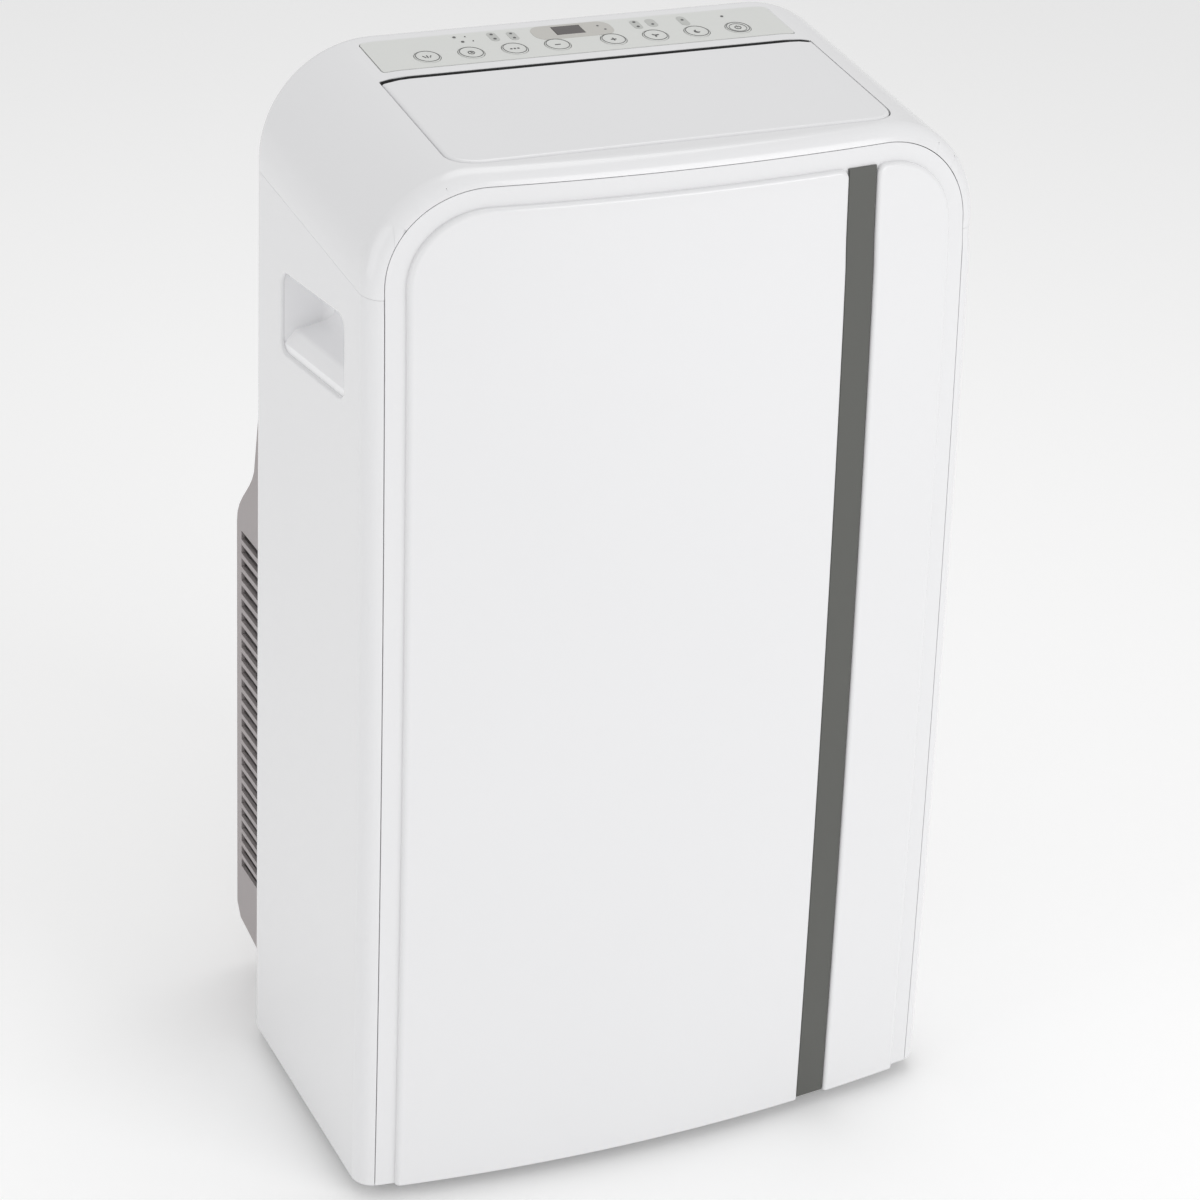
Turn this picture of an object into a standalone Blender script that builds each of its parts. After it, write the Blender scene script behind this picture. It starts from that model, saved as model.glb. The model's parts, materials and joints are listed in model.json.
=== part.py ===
"""Portable air conditioner: a white moulded casing on four hidden casters, with a bowed front,
a louver flap and a row of keys on top, a grey rear cover, and the cooling unit inside.
Metres, +Z up, front facing -Y. The origin is on the floor, at the middle of the footprint."""

import math

import bmesh
import bpy
from mathutils import Vector

# Overall sizes
HEIGHT = 0.765
WIDTH = 0.428
CASING_DEPTH = 0.204
REAR_BULGE = 0.094
FRONT_BOW = 0.019
FRONT_LEAN = 0.021
SIDE_FLARE = 0.008
FACE_RISE = 0.004
FLOOR_GAP = 0.012
# Casing
WALL = 0.003
GAP = 0.0003
SEAM_GAP = 0.0008
CORNER_R = 0.077
EDGE_ROLL = 0.012
TOP_FALL = 0.026
SEAM_FALL = 0.020
FALL_START = 0.646
COVER_HEIGHT = 0.084
BORDER = 0.013
STRIPE_WIDTH = 0.022
STRIPE_INSET = 0.095
FRONT_THICK = 0.003
# Top of the casing, measured back from the front seam
FLAP_WIDTH = 0.310
FLAP_PROUD = 0.0008
FLAP_FRONT = 0.003
FLAP_REAR = 0.127
FLAP_CORNER = 0.020
FLAP_THICK = 0.004
FLAP_GAP = 0.0012
FLAP_REAR_GAP = 0.0042
PIN_R = 0.0018
PIN_DROP = 0.0060
PIN_BACK = 0.0045
PLATE_WIDTH = 0.298
PLATE_FRONT = 0.140
PLATE_REAR = 0.1855
KEY_ROW = 0.155
KEY_PITCH = 0.0308
KEY_MIDDLE = 0.0406
KEY_R = 0.0087
KEY_TRAVEL = 0.0006
DISPLAY_ROW = 0.1755
DISPLAY_SIZE = (0.0205, 0.013)
DISPLAY_X = -0.004
# Air outlet under the flap
DUCT_HALF = 0.1475
DUCT_LOW = 0.690
DUCT_WALL = 0.0025
BOSS_R = 0.0029
VANE_COUNT = 5
VANE_PITCH = 0.056
VANE_ROW = 0.066
VANE_TOP = 0.724
VANE_PIN_R = 0.0016
VANE_ARM = 0.014
LINK_PIN_R = 0.0010
# Handle recesses
HANDLE_FRONT = 0.039
HANDLE_REAR = 0.152
HANDLE_LOW = 0.576
HANDLE_HIGH = 0.631
HANDLE_DEPTH = 0.036
HANDLE_CORNER = 0.009
HANDLE_RISE = 0.011
HANDLE_LIP = (0.008, 0.013)
HANDLE_SLOPE = 0.018
# Rear cover
BULGE_INSET = 0.020
REAR_WALL = 0.0025
REAR_TOP = 0.706
SLOPE_END = 0.055
SLOPE_LOW = 0.440
BULGE_TOP = 0.378
BULGE_LOW = 0.055
SLOT_COUNT = 26
SLOT_PITCH = 0.0110
SLOT_HEIGHT = 0.007
REAR_LAP = 0.003
PORT_R = 0.060
PORT_WALL = 0.0045
PORT_X = 0.078
PORT_Z = 0.497
PORT_REACH = 0.075
UPPER_FILTER = (0.155, 0.578, 0.692)
LOWER_FILTER = (0.150, 0.086, 0.346)
DRAIN_X = -0.125
DRAINS = (0.470, 0.069)
DRAIN_R = 0.008
PLUG_PROUD = 0.005
GLAND = (0.160, 0.069)
GLAND_R = 0.007
# Base and casters
BASE_FLOOR = 0.040
BASE_RIM = 0.030
CASTER_X = 0.150
CASTER_INSET = 0.055
CASTER_WHEEL_R = 0.014
CASTER_TRAIL = 0.009
# Fans and cooling unit; offsets are measured back from the front seam
SHAFT_R = 0.004
UPPER_FAN_Z = 0.598
UPPER_FAN_R = 0.066
UPPER_FAN_FRONT = 0.066
LOWER_FAN_X = 0.078
LOWER_FAN_Z = 0.225
LOWER_FAN_R = 0.078
LOWER_FAN_FRONT = 0.104
LOWER_MOUTH = 0.385
FAN_DEPTH = 0.080
EVAPORATOR = (0.165, 0.584, 0.704, 0.166, 0.028)
CONDENSER = (0.170, 0.125, 0.372, 0.192, 0.034)
COMPRESSOR_R = 0.056
COMPRESSOR_HEIGHT = 0.235
COMPRESSOR_X = -0.098
COMPRESSOR_ROW = 0.095
ACCUMULATOR_X = -0.184

DEPTH = CASING_DEPTH + FRONT_LEAN + FRONT_BOW + FACE_RISE + REAR_BULGE + PLUG_PROUD
HALF_W = WIDTH / 2
Y_SEAM = -DEPTH / 2 + FRONT_LEAN + FRONT_BOW + FACE_RISE
Y_REAR = Y_SEAM + CASING_DEPTH
Z_LOW = FLOOR_GAP
Z_SEAM = HEIGHT - COVER_HEIGHT
VANE_X = [VANE_PITCH * (k - (VANE_COUNT - 1) / 2) for k in range(VANE_COUNT)]
VANE_Y = Y_SEAM + VANE_ROW
HANDLE_MIDDLE = Y_SEAM + (HANDLE_FRONT + HANDLE_REAR) / 2
LONG = 1.0  # cutters are made this much longer than anything they cut


def material(name, color, roughness, metallic=0.0):
    """A plain Principled material."""
    made = bpy.data.materials.new(name)
    made.use_nodes = True
    shader = made.node_tree.nodes["Principled BSDF"]
    shader.inputs["Base Color"].default_value = (*color, 1)
    shader.inputs["Roughness"].default_value = roughness
    shader.inputs["Metallic"].default_value = metallic
    made.diffuse_color = (*color, 1)
    return made


def make(name, bm, finish=None):
    """A part, or a scratch shape when it has no finish."""
    bmesh.ops.recalc_face_normals(bm, faces=bm.faces)
    mesh = bpy.data.meshes.new(name)
    bm.to_mesh(mesh)
    bm.free()
    return link(name, mesh, finish)


def link(name, mesh, finish=None):
    piece = bpy.data.objects.new(name, mesh)
    (PARTS if finish else CUTTERS).objects.link(piece)
    if finish:
        mesh.materials.clear()
        mesh.materials.append(finish)
        for face in mesh.polygons:
            face.material_index = 0
        mesh.shade_smooth()
        mesh.set_sharp_from_angle(angle=math.radians(35))
    else:
        piece.hide_render = True
        piece.display_type = "WIRE"
    return piece


def finished(name, scratch, finish):
    """Turns a scratch shape into the part of that name."""
    mesh = scratch.data
    bpy.data.objects.remove(scratch)
    mesh.name = name
    return link(name, mesh, finish)


def settle(piece):
    """Replaces a piece's mesh with what its modifiers make of it."""
    graph = bpy.context.evaluated_depsgraph_get()
    mesh = bpy.data.meshes.new_from_object(piece.evaluated_get(graph))
    piece.modifiers.clear()
    piece.data = mesh
    return piece


def combine(piece, others, how="DIFFERENCE"):
    """Cuts, joins or intersects a piece with the other shapes, which are used up."""
    for other in others:
        step = piece.modifiers.new(how.lower(), "BOOLEAN")
        step.operation = how
        step.solver = "EXACT"
        step.object = other
        settle(piece)
        bpy.data.objects.remove(other)
    return piece


def duplicate(piece):
    twin = piece.copy()
    twin.data = piece.data.copy()
    CUTTERS.objects.link(twin)
    return twin


def block(low, high, name="block"):
    """A box between two corners."""
    bm = bmesh.new()
    bmesh.ops.create_cube(bm, size=1)
    size = Vector(high) - Vector(low)
    bmesh.ops.scale(bm, vec=size, verts=bm.verts)
    bmesh.ops.translate(bm, vec=Vector(low) + size / 2, verts=bm.verts)
    return make(name, bm)


def rod(start, end, radius, sides=16, tip=None, name="rod"):
    """A cylinder, or a cone when its tip has another radius, between two points."""
    start, end = Vector(start), Vector(end)
    bm = bmesh.new()
    bmesh.ops.create_cone(bm, cap_ends=True, segments=sides, radius1=radius,
                          radius2=radius if tip is None else tip, depth=(end - start).length)
    turn = (end - start).to_track_quat("Z", "Y").to_matrix()
    bmesh.ops.rotate(bm, matrix=turn, verts=bm.verts)
    bmesh.ops.translate(bm, vec=(start + end) / 2, verts=bm.verts)
    return make(name, bm)


def prism(outline, axis, low, high, name="prism"):
    """A flat outline drawn in the two other axes and extruded along the named one."""
    place = {"X": lambda a, b: (low, a, b), "Y": lambda a, b: (a, low, b), "Z": lambda a, b: (a, b, low)}
    way = {"X": (1, 0, 0), "Y": (0, 1, 0), "Z": (0, 0, 1)}
    bm = bmesh.new()
    face = bm.faces.new([bm.verts.new(place[axis](*point)) for point in outline])
    grown = bmesh.ops.extrude_face_region(bm, geom=[face])
    top = [item for item in grown["geom"] if isinstance(item, bmesh.types.BMVert)]
    bmesh.ops.translate(bm, vec=Vector(way[axis]) * (high - low), verts=top)
    return make(name, bm)


def tube(name, points, radius, finish, turns=2):
    """A round bar along a route, as one closed mesh."""
    curve = bpy.data.curves.new(name, "CURVE")
    curve.dimensions = "3D"
    curve.bevel_depth = radius
    curve.bevel_resolution = turns
    curve.use_fill_caps = True
    spline = curve.splines.new("POLY")
    spline.points.add(len(points) - 1)
    for spot, point in zip(spline.points, points):
        spot.co = (*point, 1)
    route = bpy.data.objects.new(name + "_route", curve)
    CUTTERS.objects.link(route)
    graph = bpy.context.evaluated_depsgraph_get()
    mesh = bpy.data.meshes.new_from_object(route.evaluated_get(graph))
    bpy.data.objects.remove(route)
    bm = bmesh.new()
    bm.from_mesh(mesh)
    bmesh.ops.remove_doubles(bm, verts=bm.verts, dist=0.00001)
    return make(name, bm, finish)


def arc(centre, radius, start, end, steps):
    """Points round part of a circle; angles in degrees."""
    for step in range(steps + 1):
        angle = math.radians(start + (end - start) * step / steps)
        yield centre[0] + radius * math.cos(angle), centre[1] + radius * math.sin(angle)


def rounded(low, high, radii, steps=4):
    """A rectangle's outline with its own radius at each corner: low-low, high-low, high-high, low-high."""
    (x0, y0), (x1, y1) = low, high
    corners = (((x0, y0), 180), ((x1, y0), 270), ((x1, y1), 0), ((x0, y1), 90))
    points = []
    for ((x, y), start), radius in zip(corners, radii):
        if radius == 0:
            points.append((x, y))
            continue
        inward = (x + math.copysign(radius, (x0 + x1) / 2 - x), y + math.copysign(radius, (y0 + y1) / 2 - y))
        points += arc(inward, radius, start, start + 90, steps)
    return points


def roll_edges(piece, width, steps=3):
    """Rounds every sharp edge of a shape."""
    step = piece.modifiers.new("roll", "BEVEL")
    step.width = width
    step.segments = steps
    step.limit_method = "ANGLE"
    step.angle_limit = math.radians(50)
    step.use_clamp_overlap = False
    return settle(piece)


def flow(piece, lean=FRONT_LEAN, levels=7, upper=False):
    """Gives a casing part the casing's lines. Its faces are split first, so that they can bend."""
    bm = bmesh.new()
    bm.from_mesh(piece.data)
    cuts = [Z_LOW + (FALL_START - Z_LOW) * k / levels for k in range(1, levels + 1)]
    for cut in [DUCT_LOW + 0.010, HEIGHT - 0.030] if upper else cuts + [Z_SEAM]:
        everything = list(bm.verts) + list(bm.edges) + list(bm.faces)
        bmesh.ops.bisect_plane(bm, geom=everything, dist=0.00001, plane_co=(0, 0, cut), plane_no=(0, 0, 1))
    for vert in bm.verts:
        vert.co = flowed(vert.co, lean, upper)
    bm.to_mesh(piece.data)
    bm.free()
    return piece


def part_way(value, start, end):
    """How far a value has come from start to end, from 0 to 1."""
    return min(max((value - start) / (end - start), 0), 1)


def flowed(point, lean, upper=False):
    """Where the casing's lines take a point of the plain upright casing: the front leans out and the
    sides flare lower down, and the seam and the top fall to the front. An upper piece keeps its foot level."""
    x, y, z = point
    back = part_way(Y_REAR - y, 0, CASING_DEPTH)
    up = part_way(z, Z_LOW, HEIGHT)
    fall = (TOP_FALL - SEAM_FALL) * part_way(z, Z_SEAM, HEIGHT)
    fall += SEAM_FALL * part_way(z, FALL_START, Z_SEAM)
    if upper:
        fall *= part_way(z, DUCT_LOW + 0.010, HEIGHT - 0.030)
    return Vector((x if upper else flare(x, z), y - lean * (1 - up * up) * back, z - fall * back))


def flare(x, z):
    """Where the sides' flare takes x at a height."""
    return x * (1 + SIDE_FLARE / HALF_W * (1 - part_way(z, Z_LOW, HEIGHT)))


def flare_out(piece):
    """Gives a piece of the rear cover the sides' flare."""
    for vert in piece.data.vertices:
        vert.co.x = flare(vert.co.x, vert.co.z)
    return piece


def bow(x, y, half=HALF_W):
    """The front's line in plan at a given x, when its ends are at y."""
    return y - FRONT_BOW * (1 - (x / half) ** 2)


def bowed_block(half, front, rear, low, high, steps=12):
    """A block whose front follows the bow."""
    xs = [-half + 2 * half * k / steps for k in range(steps + 1)]
    plan = [(x, bow(x, front)) for x in xs] + [(half, rear), (-half, rear)]
    return prism(plan, "Z", low, high)


def arch(half, low, high, radius, steps=6):
    """The casing's outline from the front: upright sides and rounded top corners."""
    points = [(-half, low), (half, low)]
    points += arc((half - radius, high - radius), radius, 0, 90, steps)
    points += arc((-half + radius, high - radius), radius, 90, 180, steps)
    return points


def casing_body(inset):
    """The casing as a full body, shrunk by an inset, and open at the bottom."""
    half = HALF_W - inset
    low = -0.1
    high = HEIGHT - inset
    body = prism(arch(half, low, high, CORNER_R - inset), "Y", -LONG, LONG)
    combine(body, [bowed_block(half, Y_SEAM + inset, Y_REAR - inset, low * 2, LONG)], "INTERSECT")
    return roll_edges(body, EDGE_ROLL - inset)


def casing_shell():
    """The casing's wall, open at the front for the front panel and at the rear for the rear cover."""
    shell = casing_body(0)
    opening = EDGE_ROLL - 0.001
    front = prism(arch(HALF_W - opening, -LONG, HEIGHT - opening, CORNER_R - opening), "Y",
                  -LONG, Y_SEAM + EDGE_ROLL)
    half = HALF_W - BULGE_INSET + GAP
    rear = block((-half, Y_REAR - 0.02, -LONG), (half, LONG, REAR_TOP + GAP * 3))
    return combine(shell, [casing_body(WALL), front, rear])


def tilt_handle(piece):
    """Turns the level shapes of a handle recess so that they rise to the front."""
    for vert in piece.data.vertices:
        vert.co.z += HANDLE_RISE * (HANDLE_MIDDLE - vert.co.y) / (HANDLE_REAR - HANDLE_FRONT)
    return piece


def handle_window(side):
    """A cutter for the handle opening in a side panel; side is -1 for left and 1 for right."""
    low = (Y_SEAM + HANDLE_FRONT, HANDLE_LOW)
    high = (Y_SEAM + HANDLE_REAR, HANDLE_HIGH)
    ends = sorted((side * (HALF_W - 0.02), side * (HALF_W + 0.02)))
    return tilt_handle(prism(rounded(low, high, [HANDLE_CORNER] * 4), "X", *ends))


def side_panel(name, shell, side):
    """One side of the casing, from the skirt to the top cover, with its handle opening."""
    panel = duplicate(shell)
    ends = sorted((side * 0.12, side * LONG))
    keep = block((ends[0], -LONG, Z_LOW), (ends[1], LONG, Z_SEAM - SEAM_GAP / 2))
    combine(panel, [keep], "INTERSECT")
    combine(panel, [handle_window(side)])
    return finished(name, flow(panel), WHITE)


def mirrored(name, piece, finish):
    """The mirror image of a finished part, for the unit's other side."""
    bm = bmesh.new()
    bm.from_mesh(piece.data)
    for vert in bm.verts:
        vert.co.x = -vert.co.x
    bmesh.ops.reverse_faces(bm, faces=bm.faces)
    return make(name, bm, finish)


def flap_outline(grow=0.0, rear_grow=0.0):
    half = FLAP_WIDTH / 2 + grow
    low = (-half, Y_SEAM + FLAP_FRONT - grow)
    high = (half, Y_SEAM + FLAP_REAR + rear_grow)
    soft = FLAP_CORNER + grow
    return rounded(low, high, (soft, soft, 0, 0), steps=5)


def plate_outline(grow=0.0):
    half = PLATE_WIDTH / 2 + grow
    low = (-half, Y_SEAM + PLATE_FRONT - grow)
    return rounded(low, (half, Y_SEAM + PLATE_REAR + grow), [0.003 + grow] * 4, 2)


def top_cover(shell):
    """The top of the casing, with the air outlet and the seat of the control plate cut through."""
    cover = duplicate(shell)
    combine(cover, [block((-LONG, -LONG, Z_SEAM + SEAM_GAP / 2), (LONG, LONG, LONG))], "INTERSECT")
    low = HEIGHT - 0.03
    combine(cover, [prism(flap_outline(FLAP_GAP, FLAP_REAR_GAP), "Z", low, LONG),
                    prism(plate_outline(GAP), "Z", low, LONG)])
    return finished("top_cover", flow(cover), WHITE)


def front_panel():
    """The bowed front panel: a stepped border, a raised face, and a groove for the stripe."""
    edge = EDGE_ROLL - 0.001 + SEAM_GAP
    thick = FRONT_THICK
    panel = prism(arch(HALF_W - edge, Z_LOW, HEIGHT - edge, CORNER_R - edge), "Y", -LONG, LONG)
    slab = bowed_block(HALF_W, Y_SEAM, Y_SEAM + 0.02, -LONG, LONG)
    combine(panel, [slab], "INTERSECT")
    inset = edge + BORDER
    face = prism(arch(HALF_W - inset, Z_LOW, HEIGHT - inset, CORNER_R - inset), "Y", -LONG, LONG)
    raised = bowed_block(HALF_W, Y_SEAM - FACE_RISE, Y_SEAM + 0.01, -LONG, LONG)
    combine(face, [raised], "INTERSECT")
    combine(panel, [face], "UNION")
    back = bowed_block(HALF_W, Y_SEAM + thick, LONG, -LONG, LONG)
    inset += thick
    pocket = prism(arch(HALF_W - inset, Z_LOW + thick, HEIGHT - inset, CORNER_R - inset), "Y", -LONG, LONG)
    combine(pocket, [bowed_block(HALF_W, Y_SEAM - FACE_RISE + thick, LONG / 2, -LONG, LONG)], "INTERSECT")
    centre = HALF_W - STRIPE_INSET
    half = STRIPE_WIDTH / 2 + thick
    combine(pocket, [block((centre - half, -LONG, -LONG), (centre + half, LONG, LONG))])
    combine(panel, [back, pocket, stripe_groove()])
    return finished("front_panel", flow(panel), WHITE)


def stripe_groove(margin=0.0, low=-LONG):
    """The stripe's space: a shallow groove from the raised face's top edge down to the skirt."""
    centre = HALF_W - STRIPE_INSET
    half = STRIPE_WIDTH / 2 - margin
    top = HEIGHT - EDGE_ROLL - BORDER - 0.001 - margin
    front = Y_SEAM - FRONT_BOW - FACE_RISE - 0.01
    groove = block((centre - half, front, low), (centre + half, Y_SEAM, top))
    return combine(groove, [bowed_block(HALF_W, Y_SEAM - margin, LONG, -LONG * 2, LONG)])


def stripe_insert():
    """The dark strip that lies in the groove, its face a little below the raised face."""
    strip = stripe_groove(GAP, Z_LOW + GAP)
    face = bowed_block(HALF_W, Y_SEAM - FACE_RISE * 0.45, LONG, -LONG, LONG)
    combine(strip, [face], "INTERSECT")
    return finished("stripe_insert", flow(strip), STRIPE)


def rear_profile(inset=0.0):
    """The rear cover's side view: a sloping upper face, an S curve, the bulge and its slanted underside."""
    depth = REAR_BULGE - inset
    points = [(Y_REAR - REAR_LAP, REAR_TOP - inset), (Y_REAR + 0.003 - inset, REAR_TOP - inset)]
    for step in range(9):
        t = step / 8
        blend = (1 - math.cos(math.pi * t)) / 2
        y = SLOPE_END + (REAR_BULGE - SLOPE_END) * blend
        points.append((Y_REAR + y - inset, SLOPE_LOW + (BULGE_TOP - SLOPE_LOW) * t - inset * blend))
    points += [(Y_REAR + depth, BULGE_LOW + inset), (Y_REAR + depth - 0.008, BULGE_LOW - 0.010 + inset)]
    points += [(Y_REAR - REAR_LAP, BULGE_LOW - 0.024 + inset)]
    return points


def rear_cover():
    """The grey rear cover, with slots in its sides, two framed openings, the exhaust port and two drains."""
    half = HALF_W - BULGE_INSET
    cover = prism(rear_profile(), "X", -half, half)
    hollow_end = half - REAR_WALL
    inner = [(y, z) for y, z in rear_profile(REAR_WALL)]
    inner[0] = (Y_REAR - 0.03, inner[0][1])
    inner[-1] = (Y_REAR - 0.03, inner[-1][1])
    combine(cover, [prism(inner, "X", -hollow_end, hollow_end)])
    slots = []
    for index in range(SLOT_COUNT):
        z = BULGE_TOP - 0.004 - index * SLOT_PITCH
        slots.append(block((-LONG, Y_REAR + 0.010, z - SLOT_HEIGHT), (LONG, Y_REAR + REAR_BULGE - 0.010, z)))
    combine(cover, slots)
    combine(cover, [filter_opening(*UPPER_FILTER), filter_opening(*LOWER_FILTER)])
    flare_out(cover)
    combine(cover, [port_hole()] + [drain_hole(z) for z in DRAINS] + [gland_hole()])
    return finished("rear_cover", cover, GREY)


def rear_face(z):
    """How far back the rear cover's outer face is at a height."""
    if z >= SLOPE_LOW:
        return Y_REAR + 0.003 + (SLOPE_END - 0.003) * (REAR_TOP - z) / (REAR_TOP - SLOPE_LOW)
    return Y_REAR + REAR_BULGE


def filter_opening(half, low, high):
    return block((-half, Y_REAR - REAR_LAP - 0.002, low), (half, LONG, high))


def port_hole():
    return rod((PORT_X, Y_REAR - 0.005, PORT_Z), (PORT_X, Y_REAR + LONG, PORT_Z), PORT_R + PORT_WALL + GAP, 32)


def drain_hole(z):
    return rod((DRAIN_X, rear_face(z) - 0.02, z), (DRAIN_X, LONG, z), DRAIN_R, 16)


def gland_hole():
    x, z = GLAND
    return rod((x, rear_face(z) - 0.02, z), (x, LONG, z), GLAND_R, 16)


def filter_grille(name, half, low, high, bars, finish):
    """A framed grille that carries the dust filter; it stands in its opening and pulls out to the rear."""
    margin = GAP * 2
    outer = prism([(rear_face(low) - 0.004, low + margin), (rear_face(low) - 0.0005, low + margin),
                   (rear_face(high) - 0.0005, high - margin), (rear_face(high) - 0.004, high - margin)],
                  "X", -half + margin, half - margin)
    rim = 0.010
    columns = 3
    pitch = (high - low - 2 * rim) / bars
    span = (2 * half - (columns + 1) * rim) / columns
    holes = []
    for row in range(bars):
        z = low + rim + pitch * row + pitch * 0.2
        for column in range(columns):
            x = -half + rim + column * (span + rim)
            holes.append(block((x, Y_REAR - 0.02, z), (x + span, LONG, z + pitch * 0.6)))
    combine(outer, holes)
    return finished(name, flare_out(outer), finish)


def exhaust_collar():
    """The round collar that the exhaust hose twists into."""
    front = rear_face(PORT_Z) - 0.030
    collar = rod((PORT_X, front, PORT_Z), (PORT_X, Y_REAR + PORT_REACH, PORT_Z), PORT_R + PORT_WALL, 32)
    combine(collar, [rod((PORT_X, -LONG, PORT_Z), (PORT_X, LONG, PORT_Z), PORT_R, 32)])
    return finished("exhaust_collar", collar, DARK_GREY)


def drain_plug(name, z):
    """A rubber plug: a cap outside the cover and a stub in its hole."""
    face = rear_face(z)
    clear = 0.003 if z > SLOPE_LOW else 0.0
    plug = rod((DRAIN_X, face - 0.010, z), (DRAIN_X, face + clear + 0.003, z), DRAIN_R - GAP)
    cap = rod((DRAIN_X, face + clear + GAP, z), (DRAIN_X, face + clear + 0.005, z), DRAIN_R + 0.003)
    combine(plug, [cap], "UNION")
    return finished(name, plug, RUBBER)


def cord_gland():
    """The bush in the rear cover that the mains lead would come out of."""
    x, z = GLAND
    face = rear_face(z)
    bush = rod((x, face - 0.008, z), (x, face + 0.004, z), GLAND_R - GAP)
    combine(bush, [rod((x, face + GAP, z), (x, face + 0.003, z), GLAND_R + 0.003)], "UNION")
    combine(bush, [rod((x, face - 0.02, z), (x, face + 0.02, z), 0.0035)])
    return finished("cord_gland", bush, RUBBER)


def handle_cup(name, side):
    """A grip recess: a cup behind the side panel, with a slanted lower face and a hooded top."""
    lip = 0.005
    low = (Y_SEAM + HANDLE_FRONT - lip, HANDLE_LOW - lip)
    high = (Y_SEAM + HANDLE_REAR + lip, HANDLE_HIGH + lip)
    outer_x = HALF_W - WALL - GAP
    inner_x = outer_x - HANDLE_DEPTH
    ends = sorted((side * inner_x, side * outer_x))
    cup = prism(rounded(low, high, [HANDLE_CORNER + lip] * 4), "X", *ends)
    wall = 0.0025
    deep = side * (inner_x + wall)
    mouth = side * (outer_x + 0.01)
    room = [(mouth, HANDLE_LOW), (mouth, HANDLE_HIGH), (deep, HANDLE_HIGH + lip - wall),
            (deep, HANDLE_LOW + HANDLE_SLOPE), (side * (outer_x - HANDLE_LIP[0]), HANDLE_LOW + HANDLE_LIP[1])]
    space = prism(room, "Y", Y_SEAM + HANDLE_FRONT, Y_SEAM + HANDLE_REAR)
    combine(cup, [space])
    tilt_handle(cup)
    for vert in cup.data.vertices:
        vert.co = flowed(vert.co, FRONT_LEAN)
    return finished(name, cup, WHITE)


def top_z(y):
    """The height of the casing's top at a given y."""
    return HEIGHT - TOP_FALL * (Y_REAR - y) / CASING_DEPTH


def key_places():
    """The eight keys' x positions, four each side of the middle."""
    offsets = [KEY_MIDDLE / 2 + KEY_PITCH * k for k in range(4)]
    return [-x for x in reversed(offsets)] + offsets


def control_plate():
    """The plate under the keys and the display, let into the top cover."""
    plate = follow_arch(prism(plate_outline(), "Z", Z_SEAM, LONG), 0.0003, WALL)
    y = Y_SEAM + KEY_ROW
    holes = [rod((x, y, 0.5), (x, y, 1), KEY_R + GAP, 20) for x in key_places()]
    combine(plate, holes)
    wide, deep = DISPLAY_SIZE
    middle = Y_SEAM + DISPLAY_ROW
    wide, deep = wide / 2 + GAP, deep / 2 + GAP
    window = block((DISPLAY_X - wide, middle - deep, 0.5), (DISPLAY_X + wide, middle + deep, 1))
    combine(plate, [window])
    return finished("control_plate", flow(plate, 0), PLATE)


def display_window():
    wide, deep = DISPLAY_SIZE
    middle = Y_SEAM + DISPLAY_ROW
    wide, deep = wide / 2, deep / 2
    pane = block((DISPLAY_X - wide, middle - deep, HEIGHT - WALL), (DISPLAY_X + wide, middle + deep, HEIGHT))
    return finished("display_window", flow(pane, 0), SMOKED)


KEY_NAMES = ("key_swing", "key_timer", "key_mode", "key_minus", "key_plus", "key_fan", "key_sleep", "key_power")


def keys():
    """Eight round keys, each on a stem that stops short of its switch on the board."""
    y = Y_SEAM + KEY_ROW
    for name, x in zip(KEY_NAMES, key_places()):
        key = rod((x, y, HEIGHT - 0.0032), (x, y, HEIGHT + 0.0008), KEY_R, 20)
        combine(key, [rod((x, y, HEIGHT - 0.0062), (x, y, HEIGHT - 0.003), 0.003, 12)], "UNION")
        finished(name, flow(key, 0), PLATE)


def control_board():
    """The printed board under the control plate."""
    low = HEIGHT - 0.0062 - KEY_TRAVEL - 0.0004 - 0.0016
    half = PLATE_WIDTH / 2 - 0.006
    board = block((-half, Y_SEAM + PLATE_FRONT + 0.003, low), (half, Y_SEAM + PLATE_REAR - 0.003, low + 0.0016))
    return finished("control_board", flow(board, 0), BOARD)


def follow_arch(piece, proud, thick=None):
    """Trims a piece of the top to the casing's arch, so that it curves down with it at its ends."""
    outer = prism(arch(HALF_W + proud, -LONG, HEIGHT + proud, CORNER_R + proud), "Y", -LONG, LONG)
    combine(piece, [outer], "INTERSECT")
    if thick:
        combine(piece, [prism(arch(HALF_W - thick, -LONG, HEIGHT - thick, CORNER_R - thick), "Y", -LONG, LONG)])
    return piece


def louver_flap():
    """The lid over the air outlet, with a lug and pin near each rear corner."""
    flap = follow_arch(prism(flap_outline(), "Z", Z_SEAM, LONG), FLAP_PROUD, FLAP_THICK)
    y = Y_SEAM + FLAP_REAR - PIN_BACK
    z = HEIGHT - PIN_DROP
    lugs = []
    for side in (-1, 1):
        inner = side * (DUCT_HALF - 0.012)
        ends = sorted((inner, side * (DUCT_HALF - DUCT_WALL - 0.001)))
        lugs.append(block((ends[0], y - 0.0022, z - 0.0022), (ends[1], y + 0.0022, HEIGHT - 0.002)))
        lugs.append(rod((inner + side * 0.002, y, z), (side * DUCT_HALF, y, z), PIN_R, 12))
    near, far = DUCT_HALF - DUCT_WALL - GAP, DUCT_HALF + GAP
    relief = [rod((side * near, y, z), (side * far, y, z), BOSS_R + 0.0004, 20) for side in (-1, 1)]
    combine(flap, relief)
    combine(flap, lugs, "UNION")
    return finished("louver_flap", flow(flap, 0), WHITE)


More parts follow.
